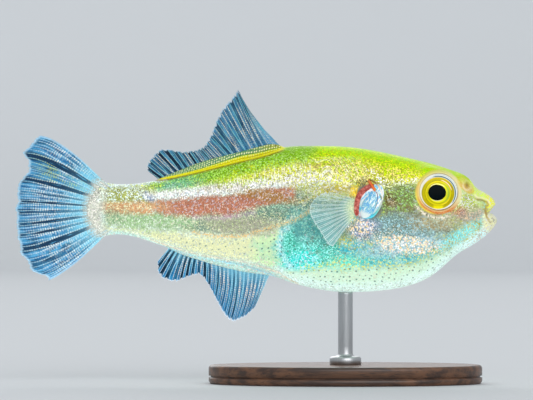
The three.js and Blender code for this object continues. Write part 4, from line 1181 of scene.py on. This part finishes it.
def makeTailFin():
    shape = fins["tail"]
    turn = np.linspace(-1, 1, shape["columns"])
    v = np.linspace(0, 1, shape["rows"])[:, None]
    count = len(shape["rayTurns"])
    ray = np.interp(turn, [-1, *shape["rayTurns"], 1], [0.4, *(np.arange(count) + 0.5), count - 0.4])
    folds = np.array([shape["folds"][0], *shape["folds"], shape["folds"][-1]])
    fold = folds[np.clip(np.round(ray).astype(int), 0, count)]
    root = shape["rootReach"]
    reach = smoothCurve(shape["reach"])(turn) - notches(ray, shape, 0.25, (0.03, 0.08)) / lengthMm
    radius = root + (reach - root) * v
    bow = smoothCurve(shape["bow"])(np.clip((radius - root) / (0.32 - root), 0, 1.05))
    angle = np.radians(shape["spread"]) * turn * bow
    s = shape["centre"][0] + radius * np.cos(angle)
    z = shape["centre"][1] + radius * np.sin(angle)
    middle = mm(np.stack([s, np.zeros_like(s), z], -1))
    addFin("tailFin", shape, middle, ray, fold, paintFin("tail", shape))


def makePectoral(sign, sideName):
    shape = {**fins["pectoral"], "nodes": ("pectoral_fin_" + sideName.lower(),)}
    c = np.linspace(0, 1, shape["columns"])
    v = np.linspace(0, 1, shape["rows"])[:, None]
    root = smoothCurve(shape["root"])(c)
    run = smoothCurve(shape["tip"])(c) - root
    ray = np.linspace(finSide, shape["rays"] - finSide, shape["columns"])
    notch = shape["notch"] * easeIn(np.abs(ray % 1 - 0.5), 0.25, 0.5)
    flat = root + run * (v * (1 - notch / mm(np.hypot(*run.T))))[..., None]
    out = (flankY(0.365, 0.0045) - shape["sink"]
           + mm(flat[..., 0] - 0.365) * shape["flare"] * (0.7 + 0.3 * c))
    middle = np.stack([mm(flat[..., 0]), sign * out, mm(flat[..., 1])], -1)
    normal = np.cross(np.gradient(middle, axis=0), np.gradient(middle, axis=1))
    side = normal / np.linalg.norm(normal, axis=-1, keepdims=True) * np.sign(normal[..., 1:2]) * sign
    addFin("pectoralFin" + sideName, shape, middle, ray, 0.5, pectoralPaint, side)


# An eye or pupil is a ball over the eye's plane: at a polar angle p its outline is sin p times the half
# sizes, and it stands cos p times its height over the plane in front and cos p times its depth behind.
def eyeBall(centre, half, front, depth, sink, sign, rows=64, columns=96):
    polar = np.linspace(0, np.pi, rows + 2)[1:-1, None]
    turn = circle(columns)
    s = centre[0] + half[0] * np.sin(polar) * np.cos(turn)
    z = centre[1] + half[1] * np.sin(polar) * np.sin(turn)
    y = eyePlane(s, z) - sink + np.cos(polar) * np.where(polar < np.pi / 2, front, depth)
    middle = eyePlane(*centre) - sink
    caps = [(centre[0], sign * out, centre[1]) for out in (middle + front, middle - depth)]
    return np.stack([s, sign * y, z], -1), caps


def paintEye():
    p = Paint("pufferEye", **{"IOR": 1.3, "Specular IOR Level": 0.25, "Coat Weight": 0.15,
                              "Coat Roughness": 0.02, "Coat IOR": 1.4})
    iris, opening, turn = p.field("iris"), p.field("opening"), p.field("turn")
    up, ahead, lens = p.field("up"), p.field("ahead"), p.field("lens")
    fine = p.noise(p.spot(), 2400, 3.0, 0.6)
    rings = p.noise(p.flat(iris * 7.0, turn * 0.7), 1.0, 3.0, 0.6, "2D")
    spokes = p.noise(p.flat(iris * 1.5, turn * 16.0), 1.0, 2.0, 0.6, "2D")

    def ring(at, half, sharpness=40):  # 1 within `half` of the share `at` of the iris
        return p.smooth((half - abs(iris - at)) * sharpness)

    colour = p.mix(p.past(rings, 0.38, 5), (182, 168, 0), (226, 212, 0))
    colour = p.coat(
        colour,
        (p.past(spokes, 0.5, 5) * 0.35, (226, 208, 20)),
        (p.past(iris, 0.84, 14) * 0.6, (168, 150, 0)),
        (ring(0.79, 0.03) * (1 - p.past(ahead, 0.3)) * 0.6, (120, 110, 0)),
        (p.before(iris, 0.76, 10) * p.past(ahead, 0.2, 2.4) * 0.75, (158, 196, 60)),
        (p.before(iris, 0.64, 20) * (1 - p.past(ahead, 0.3) * 0.6), (240, 236, 24)),
        (p.past(iris, 0.88, 14) * p.past(up, 0.45) * 0.7, (240, 204, 10)),
        (p.past(iris, 0.7, 9) * p.past(-up, 0.6) * (1 - p.past(abs(ahead), 0.2, 5)), (250, 236, 8)))
    # painted highlights on the iris: a white arc edged with orange at the upper front, and a yellow arc at
    # the lower front
    shine = p.past(ahead, 0.12, 5) * p.past(up, 0.12, 5)
    colour = p.coat(
        colour,
        (ring(0.83, 0.06, 30) * shine * 0.8, (244, 180, 30)),
        (ring(0.835, 0.03) * shine, (255, 244, 214)),
        (ring(0.77, 0.04) * p.past(ahead, 0.1, 5) * p.past(-up, 0.3, 5), (255, 226, 40)))
    gleam = p.before(abs(lens - 1.05), 0.05, 30) * p.past(abs(up), 0.36, 9)
    colour = p.coat(
        colour,
        (gleam * 0.85, (255, 244, 200)),
        (p.before(lens, 0.98, 40), (10, 14, 8)))
    white = p.mix(p.past(fine, 0.5, 4), (240, 244, 238), (253, 253, 250))
    white = p.coat(
        white,
        (p.past(iris, 1.2, 12) * p.past(ahead, 0.3), (226, 236, 226)),
        (p.past(iris, 1.16, 12) * p.past(ahead, 0.2) * p.past(-up, 0.05), (250, 226, 172)),
        (ring(1.06, 0.05, 30) * p.past(ahead + up * 0.7, 0.3), (58, 112, 130)),
        (ring(1.17, 0.03, 24) * p.past(ahead + up * 0.7, 0.4) * 0.8, (134, 172, 184)),
        (ring(1.04, 0.03, 24) * p.past(up, 0.7, 4) * (1 - p.past(ahead, 0.2)) * 0.7, (98, 120, 92)),
        (p.past(-ahead, 0.6, 4) * 0.35, (246, 232, 190)))
    colour = p.coat(
        colour,
        (p.past(iris, 0.985, 30), white),
        (p.past(opening, 0.985, 30), (150, 110, 50)))
    return p.finish({
        "Base Color": colour,
        "Metallic": p.before(iris, 1.0, 12) * 0.2,
        "Roughness": 0.3 + (1 - fine) * 0.1,
        "Normal": p.bump(rings + spokes, 0.00002, 0.5),
    })


def paintPupil():
    p = Paint("pufferPupil", **{"IOR": 1.15, "Roughness": 0.3, "Specular IOR Level": 0.3})
    shade = p.noise(p.spot(), 900, 2.0, 0.5)
    return p.finish({"Base Color": p.mix(shade, (0, 5, 7), (0, 14, 18))})


def makeEye(sign, sideName):
    middle = np.array([mm(eye["s"]), mm(eye["z"])])
    centre = middle + eye["openShift"]
    irisAt = middle + eye["iris"]
    pupilAt = irisAt + eye["pupilShift"]
    half = np.array(eye["opening"]) * eye["tuck"]
    rings, caps = eyeBall(centre, half, eye["front"], eye["depth"], eye["sink"], sign)
    seen = np.arange(len(rings))[:, None] <= len(rings) / 2
    off = (rings[..., ::2] - irisAt) / eye["irisSize"]
    lens = np.linalg.norm((rings[..., ::2] - pupilAt) / eye["pupil"], axis=-1)
    opening = np.linalg.norm((rings[..., ::2] - centre) / eye["opening"], axis=-1)
    turn = np.arctan2(rings[..., 2] - irisAt[1], rings[..., 0] - irisAt[0])
    fields = {"iris": np.where(seen, np.linalg.norm(off, axis=-1), 2), "lens": np.where(seen, lens, 2),
              "opening": np.where(seen, opening, 1), "turn": np.abs(turn) / np.pi, "up": off[..., 1],
              "ahead": -off[..., 0]}
    ball = ringPiece("eye" + sideName, rings, caps, fields=fields)
    dress(ball, eyePaint, "iris", "eye_" + sideName.lower())
    surface = eye["front"] * math.sqrt(1 - np.sum(((pupilAt - centre) / half) ** 2))
    sink = eye["sink"] - surface + eye["pupilSink"]
    rings, caps = eyeBall(pupilAt, eye["pupil"], eye["pupilFront"], eye["pupilDepth"], sink, sign, 28, 64)
    dress(ringPiece("pupil" + sideName, rings, caps), pupilPaint, "pupil", "pupil_" + sideName.lower())


# A plate fills the opening and the flap lies on it, both ovals. A red band edges them behind, a thin rim in
# front, and an orange tip lies at the top. Half sizes, rises and sinks are in mm, places in shares.
gillParts = {
    "plate": {"at": (0.3226, 0.0222), "half": (2.0, 3.6), "lean": 0.54, "rise": 0.4, "sink": 0.0},
    "flap": {"at": (0.3258, 0.0146), "half": (1.36, 2.85), "lean": 0.42, "rise": 0.5, "sink": -0.2},
    "band": {
        "half": 0.56, "rise": 0.55,
        "path": [(0.3139, 0.0646), (0.3228, 0.0595), (0.3342, 0.0532), (0.3443, 0.0448), (0.3519, 0.0342),
                 (0.3557, 0.0228), (0.3575, 0.0101), (0.3577, -0.0025), (0.3572, -0.0152)],
    },
    "rim": {
        "half": 0.21, "rise": 0.36,
        "path": [(0.3278, 0.0775), (0.3129, 0.0709), (0.3025, 0.0595), (0.2965, 0.047), (0.2937, 0.0375),
                 (0.2937, 0.0268), (0.2965, 0.0152), (0.3015, 0.004), (0.3078, -0.0055), (0.3147, -0.0135),
                 (0.3235, -0.0182), (0.3342, -0.0197), (0.3443, -0.0187), (0.3535, -0.0162)],
        # colours along it, from the top
        "stops": [(0.0, (146, 112, 40)), (0.12, (150, 128, 60)), (0.22, (248, 222, 190)),
                  (0.36, (250, 250, 250)), (0.52, (196, 206, 190)), (0.66, (120, 206, 196)),
                  (0.76, (84, 222, 242)), (0.88, (110, 196, 214)), (1.0, (176, 150, 136))],
    },
    "tip": {
        "half": 0.3, "rise": 0.55,
        "path": [(0.3293, 0.0765), (0.324, 0.0684), (0.3183, 0.0595), (0.3138, 0.0516), (0.3105, 0.0444)],
        "stops": [(0.0, (206, 140, 70)), (0.3, (226, 104, 26)), (0.7, (244, 112, 24)), (1.0, (236, 140, 84))],
    },
}


def paintFlap():
    p = Paint("gillFlap", **{"IOR": 1.4, "Coat Weight": 0.4, "Coat Roughness": 0.1})
    lie = p.place("lie")
    across, up, _ = p.split(lie)
    blotch = p.noise(p.stretch(lie, (1.9, 0.8, 1), (0, 0, 0.4)), 1.0, 3.0, 0.65, "2D")
    fine = p.noise(lie, 4.0, 2.0, 0.6, "2D")
    colour = p.mix(p.past(blotch, 0.4, 6), (84, 164, 222), (140, 204, 210))
    colour = p.coat(
        colour,
        (p.before(blotch, 0.4, 8) * 0.6, (90, 176, 172)),
        (p.past(blotch, 0.55, 10), (246, 250, 250)),
        (p.past(fine, 0.52, 8) * 0.55, (214, 236, 248)),
        (p.before(up, -1.3, 1.4) * 0.8, (236, 242, 232)))
    rim = across * across / 1.9 + up * up / 8.1  # 1 on the flap's edge
    crease = p.past(rim, 0.72, 7) * p.smooth(-across * 3) * p.smooth((up + 0.3) * 3)
    colour = p.mix(crease * 0.9, colour, (112, 56, 70))
    return p.finish({"Base Color": colour, "Metallic": p.past(blotch, 0.45, 4) * 0.2,
                     "Roughness": 0.34 + fine * 0.15,
                     "Normal": p.bump(blotch + fine * 0.4, 0.00006, 0.6)})


def paintPlate():
    p = Paint("gillPlate", **{"IOR": 1.4, "Coat Weight": 0.3, "Coat Roughness": 0.12})
    lie = p.place("lie")
    up = p.split(lie)[1]
    blotch = p.noise(p.stretch(lie, (3.0, 0.9, 1)), 1.0, 3.0, 0.6, "2D")
    colour = p.mix(p.past(blotch, 0.42, 7), (126, 206, 240), (250, 252, 254))
    colour = p.coat(
        colour,
        (p.before(up, -0.2, 1.4) * 0.8, (206, 226, 222)),
        (p.before(up, -1.5, 1.6), (92, 206, 226)),
        (p.before(up, -2.6, 3) * 0.8, (226, 200, 206)))
    return p.finish({"Base Color": colour, "Roughness": 0.34 + blotch * 0.15,
                     "Normal": p.bump(blotch, 0.00006, 0.6)})


def paintBand():
    p = Paint("gillBand", **{"IOR": 1.38, "Coat Weight": 0.35, "Coat Roughness": 0.14,
                             "Subsurface Weight": 0.12, "Subsurface Radius": (0.8, 0.3, 0.2),
                             "Subsurface Scale": 0.0006})
    run, turn, _ = p.split(p.place("lie"))
    comb = abs(p.maths("FRACT", run * 13.0 + turn * 1.5) - 0.5)
    blotch = p.noise(p.spot(), 1600, 3.0, 0.65)
    colour = p.mix(p.past(blotch, 0.4, 5), (158, 52, 42), (214, 112, 96))
    colour = p.coat(
        colour,
        (p.past(abs(turn - 0.5), 0.36, 8) * p.past(blotch, 0.4, 8) * 0.7, (232, 186, 180)),
        (p.past(comb, 0.34, 7) * 0.35 * p.past(blotch, 0.45, 8), (234, 168, 150)),
        (p.past(run, 0.55) * p.past(blotch, 0.5, 5) * 0.5, (222, 190, 178)))
    return p.finish({"Base Color": colour, "Roughness": 0.38 + blotch * 0.15,
                     "Normal": p.bump(comb * 0.5 + blotch, 0.00007, 0.6)})


def paintRim(name, part):
    p = Paint(name, **{"IOR": 1.4, "Coat Weight": 0.4, "Coat Roughness": 0.1})
    run = p.split(p.place("lie"))[0]
    blotch = p.noise(p.spot(), 1900, 3.0, 0.65)
    colour = p.ramp(run + (blotch - 0.5) * 0.25, part["stops"])
    return p.finish({"Base Color": colour, "Roughness": 0.34 + blotch * 0.15,
                     "Normal": p.bump(blotch, 0.00005, 0.6)})


# A soft bead along a curve on the flank: its section is an oval, half * cos t across and rise * sin t out,
# and it narrows towards both ends as (1 - (2 share - 1)^6)^(1/2).
def addBead(name, part, sign, paint):
    t = np.linspace(0, 1, 84)
    knots = np.array(part["path"])
    steps = np.concatenate([[0], np.cumsum(np.hypot(*np.diff(knots, axis=0).T))])
    path = smoothCurve(np.column_stack([steps / steps[-1], knots]))(t)
    tangent = np.gradient(path, axis=0)
    tangent /= np.linalg.norm(tangent, axis=1, keepdims=True)
    narrow = np.sqrt(np.clip(1 - (2 * t - 1) ** 6, 0.02, 1))[:, None]
    turn = circle(36)
    off = part["half"] * narrow * np.cos(turn)
    s = mm(path[:, :1]) + tangent[:, 1:] * off
    z = mm(path[:, 1:]) - tangent[:, :1] * off
    y = flankY(path[:, :1], path[:, 1:]) + part["rise"] * narrow * np.sin(turn)
    rings = np.stack([s, sign * y, z], -1)
    mapTurn, mapT = np.meshgrid(np.linspace(0, 1, len(turn) + 1), t)
    lie = np.stack([mapT, mapTurn], -1).reshape(-1, 2)
    dress(ringPiece(name, rings, rings[[0, -1]].mean(axis=1), extraMaps={"lie": lie}), paint, "gill")


# An oval pillow on the flank: at a polar angle p its outline is sin p times the half sizes, turned by its
# lean, and it stands cos p times its rise over a surface that lies sink under the skin.
def addPillow(name, part, sign, paint, *nodes):
    centre = np.array(part["at"]) * lengthMm
    polar, turn = np.linspace(0, np.pi, 44)[1:-1, None], circle(88)
    a = part["half"][0] * np.sin(polar) * np.cos(turn)
    b = part["half"][1] * np.sin(polar) * np.sin(turn)
    cosine, sine = math.cos(part["lean"]), math.sin(part["lean"])
    s = centre[0] + a * cosine - b * sine
    z = centre[1] + a * sine + b * cosine
    y = flankY(s / lengthMm, z / lengthMm) - part["sink"] + part["rise"] * np.cos(polar)
    out = flankY(*part["at"]) - part["sink"]
    poles = [(centre[0], sign * (out + rise), centre[1]) for rise in (part["rise"], -part["rise"])]
    lie = np.stack([np.hstack([a, a[:, :1]]), np.hstack([b, b[:, :1]])], -1).reshape(-1, 2)
    piece = ringPiece(name, np.stack([s, sign * y, z], -1), poles, extraMaps={"lie": lie})
    dress(piece, paint, "gill", *nodes)


def makeGill(sign, sideName):
    addPillow("gillPlate" + sideName, gillParts["plate"], sign, gillPaints["plate"])
    addPillow("gillFlap" + sideName, gillParts["flap"], sign, gillPaints["flap"], "gill_" + sideName.lower())
    for part in ("band", "rim", "tip"):
        addBead("gill" + part.capitalize() + sideName, gillParts[part], sign, gillPaints[part])


# In metres. The base has a rounded edge and a groove at a share of its height; the rod stands in a collar.
stand = {
    "baseRound": 0.0007, "groove": 0.0004, "grooveAt": 0.36, "columns": 160, "rodColumns": 64,
    "collar": 0.003, "collarOver": 0.0013, "rod": 0.0014, "rodSink": 0.0006, "rodStart": 0.0003,
    # (radius, how far down from the collar's top)
    "collarEdge": [(0.003, 0.0004), (0.0028, 0.0001), (0.0025, 0), (0.002, 0), (0.00155, -0.0002),
                   (0.0014, -0.0006)],
}


def paintWood():
    p = Paint("standWood", **{"IOR": 1.5, "Coat Weight": 0.35, "Coat Roughness": 0.2})
    spot = p.spot()
    wander = p.stretch(p.noise(p.stretch(spot, (20, 90, 90)), 1.0, out="Color"), (0.01, 0.02, 0.02))
    warped = p.shift(p.stretch(spot, (1, 9, 9)), wander)
    grain = p.noise(p.stretch(warped, (26, 70, 70)), 1.0, 5.0, 0.65)
    pores = p.noise(p.stretch(spot, (260, 3600, 3600)), 1.0, 2.0, 0.5)
    colour = p.mix(p.past(grain, 0.36, 4), (58, 36, 24), (112, 74, 48))
    colour = p.mix(p.past(pores, 0.58, 9) * 0.6, colour, (34, 21, 14))
    return p.finish({"Base Color": colour, "Roughness": 0.42 + grain * 0.15,
                     "Normal": p.bump(grain * 0.6 - pores * 0.5, 0.0001, 0.35)})


def paintSteel():
    p = Paint("standSteel", **{"Metallic": 1.0, "IOR": 1.6})
    brushed = p.noise(p.stretch(p.spot(), (9000, 9000, 260)), 1.0, 2.0, 0.6)
    cloud = p.noise(p.spot(), 220, 2.0, 0.5)
    colour = p.mix(brushed, (164, 166, 168), (206, 208, 210))
    return p.finish({"Base Color": colour, "Roughness": 0.26 + brushed * 0.14 + cloud * 0.08,
                     "Normal": p.bump(brushed, 0.00001, 0.4)})


# Rings of a turned piece from a profile of (radius past the half sizes, height), over an oval: x and y are
# the half sizes and the radius together, times cos and sin of the turn. The profile's ends are the tips in
# the middle.
def turned(name, centre, half, profile, columns):
    turn = circle(columns)
    radius, height = np.array(profile[1:-1]).T[..., None]
    x, y = (half[0] + radius) * np.cos(turn), (half[1] + radius) * np.sin(turn)
    rings = np.stack([centre[0] + x, centre[1] + y, height * np.ones(columns)], -1)
    caps = [(*centre[:2], profile[end][1]) for end in (0, -1)]
    return ringPiece(name, rings, caps, local=False)


def makeStand():
    low, high = (np.array(corner, float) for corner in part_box("stand_base"))
    half, top, bend = (high - low) / 2, high[2], stand["baseRound"]
    inner = half[1] * 0.5
    turns = np.linspace(0, math.pi / 2, 7)
    upperEdge = [(bend * (math.sin(t) - 1), top + bend * (math.cos(t) - 1)) for t in turns]
    lowEdge = [(radius, top - height) for radius, height in upperEdge]
    ledge, groove = top * stand["grooveAt"], stand["groove"]
    profile = [(0, 0), (-inner, 0), (-inner * 0.2, 0), *lowEdge, (0, ledge - 0.0001), (-groove, ledge),
               (-groove, ledge + 0.0002), (0, ledge + 0.0003), *upperEdge[::-1], (-inner * 0.2, top),
               (-inner, top), (0, top)]
    base = turned("standBase", (low + high) / 2, half, profile, stand["columns"])
    dress(base, paintWood(), "base_wood", "stand_base")
    low, high = (np.array(corner, float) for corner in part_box("stand_rod"))
    start, tip = top - stand["rodStart"], high[2] + stand["rodSink"]
    collarTop = low[2] + stand["collarOver"]
    edge = [(radius, collarTop - down) for radius, down in stand["collarEdge"]]
    shaft = [(stand["rod"], z) for z in np.linspace(collarTop + 0.002, tip, 12)]
    profile = [(0, start), (stand["collar"], start), *edge, *shaft, (0, tip)]
    post = turned("standRod", (low + high) / 2, (0, 0), profile, stand["rodColumns"])
    dress(post, paintSteel(), "rod_steel", "stand_rod")


studio = {
    "pictureWidth": 101.3, "centreX": 2.0, "centreZ": 34.9, "lens": 300, "sensor": 36,
    "floor": (206, 209, 212), "flatRadius": 1.32, "bend": 0.3, "wallTop": 0.3,
    "sky": (0.9, 0.94, 0.97, 1), "skyStrength": 0.62,
    "suns": {"frontSun": ((0.25, -0.85, 0.5), 1.25), "backSun": ((-0.2, 0.8, 0.6), 1.0)},
    "sunAngle": 50,
    "glowSize": (0.17, 0.11), "glowHeight": 0.0065, "glowPower": 0.05,
}


# A round bowl: a flat floor, a quarter turn up at its edge, and an upright wall.
def makeStage():
    flat, bend = studio["flatRadius"], studio["bend"]
    turns = np.linspace(0, math.pi / 2, 24)
    radius = np.concatenate([[0.02, 0.1, 0.4, 0.8, 1.1], flat + bend * np.sin(turns), [flat + bend]])
    height = np.concatenate([np.zeros(5), bend - bend * np.cos(turns), [studio["wallTop"]]])
    turn = circle(128)
    rings = np.stack([radius[:, None] * np.cos(turn), radius[:, None] * np.sin(turn),
                      height[:, None] * np.ones_like(turn)], -1)
    piece = ringPiece("studioFloor", rings, ((0, 0, 0), None), local=False)
    p = Paint("studioPaper", Roughness=0.9)
    piece.data.materials.append(p.finish({"Base Color": srgb(*studio["floor"])}))


def makeCamera():
    data = bpy.data.cameras.new("camera")
    data.lens, data.sensor_width = studio["lens"], studio["sensor"]
    data.clip_start, data.clip_end = 0.01, 20
    camera = bpy.data.objects.new("camera", data)
    distance = studio["lens"] / studio["sensor"] * studio["pictureWidth"] * mmToM
    camera.location = (studio["centreX"] * mmToM, -distance, studio["centreZ"] * mmToM)
    camera.rotation_euler = (math.pi / 2, 0, 0)
    bpy.context.scene.collection.objects.link(camera)
    bpy.context.scene.camera = camera


def addLamp(name, kind, place, aim, **settings):
    data = bpy.data.lights.new(name, kind)
    for key, value in settings.items():
        setattr(data, key, value)
    lamp = bpy.data.objects.new(name, data)
    lamp.location = place
    step = np.array(aim) - np.array(place)
    yaw = math.atan2(step[1], step[0]) - math.pi / 2
    lamp.rotation_euler = (math.atan2(math.hypot(step[0], step[1]), -step[2]), 0, yaw)
    lamp.visible_camera = False
    bpy.context.scene.collection.objects.link(lamp)
    return lamp


def makeLight():
    aim = (0, 0, fish["axisZ"])
    for name, (place, strength) in studio["suns"].items():
        addLamp(name, "SUN", place, aim, energy=strength, angle=math.radians(studio["sunAngle"]))
    wide, deep = studio["glowSize"]  # a low sheet of light, which lifts the shade under the belly
    glow = addLamp("glow", "AREA", (0, 0, studio["glowHeight"]), (0, 0, 1), shape="RECTANGLE", size=wide,
                   size_y=deep, energy=studio["glowPower"])
    glow.visible_glossy = False
    world = bpy.data.worlds.new("studio")
    world.use_nodes = True
    sky = world.node_tree.nodes["Background"]
    sky.inputs["Color"].default_value = studio["sky"]
    sky.inputs["Strength"].default_value = studio["skyStrength"]
    bpy.context.scene.world = world
    bpy.context.scene.view_settings.view_transform = "Standard"


makeCamera()
makeStage()
makeLight()
print("camera, floor and light are set")
makeSkin()
makeMedianFin("dorsal")
makeMedianFin("anal")
makeTailFin()
pectoralPaint = paintFin("pectoral", fins["pectoral"])
eyePaint, pupilPaint = paintEye(), paintPupil()
gillPaints = {"plate": paintPlate(), "flap": paintFlap(), "band": paintBand(),
              "rim": paintRim("gillRim", gillParts["rim"]), "tip": paintRim("gillTip", gillParts["tip"])}
for sign, sideName in ((1, "Left"), (-1, "Right")):
    makePectoral(sign, sideName)
    makeEye(sign, sideName)
    makeGill(sign, sideName)
makeStand()
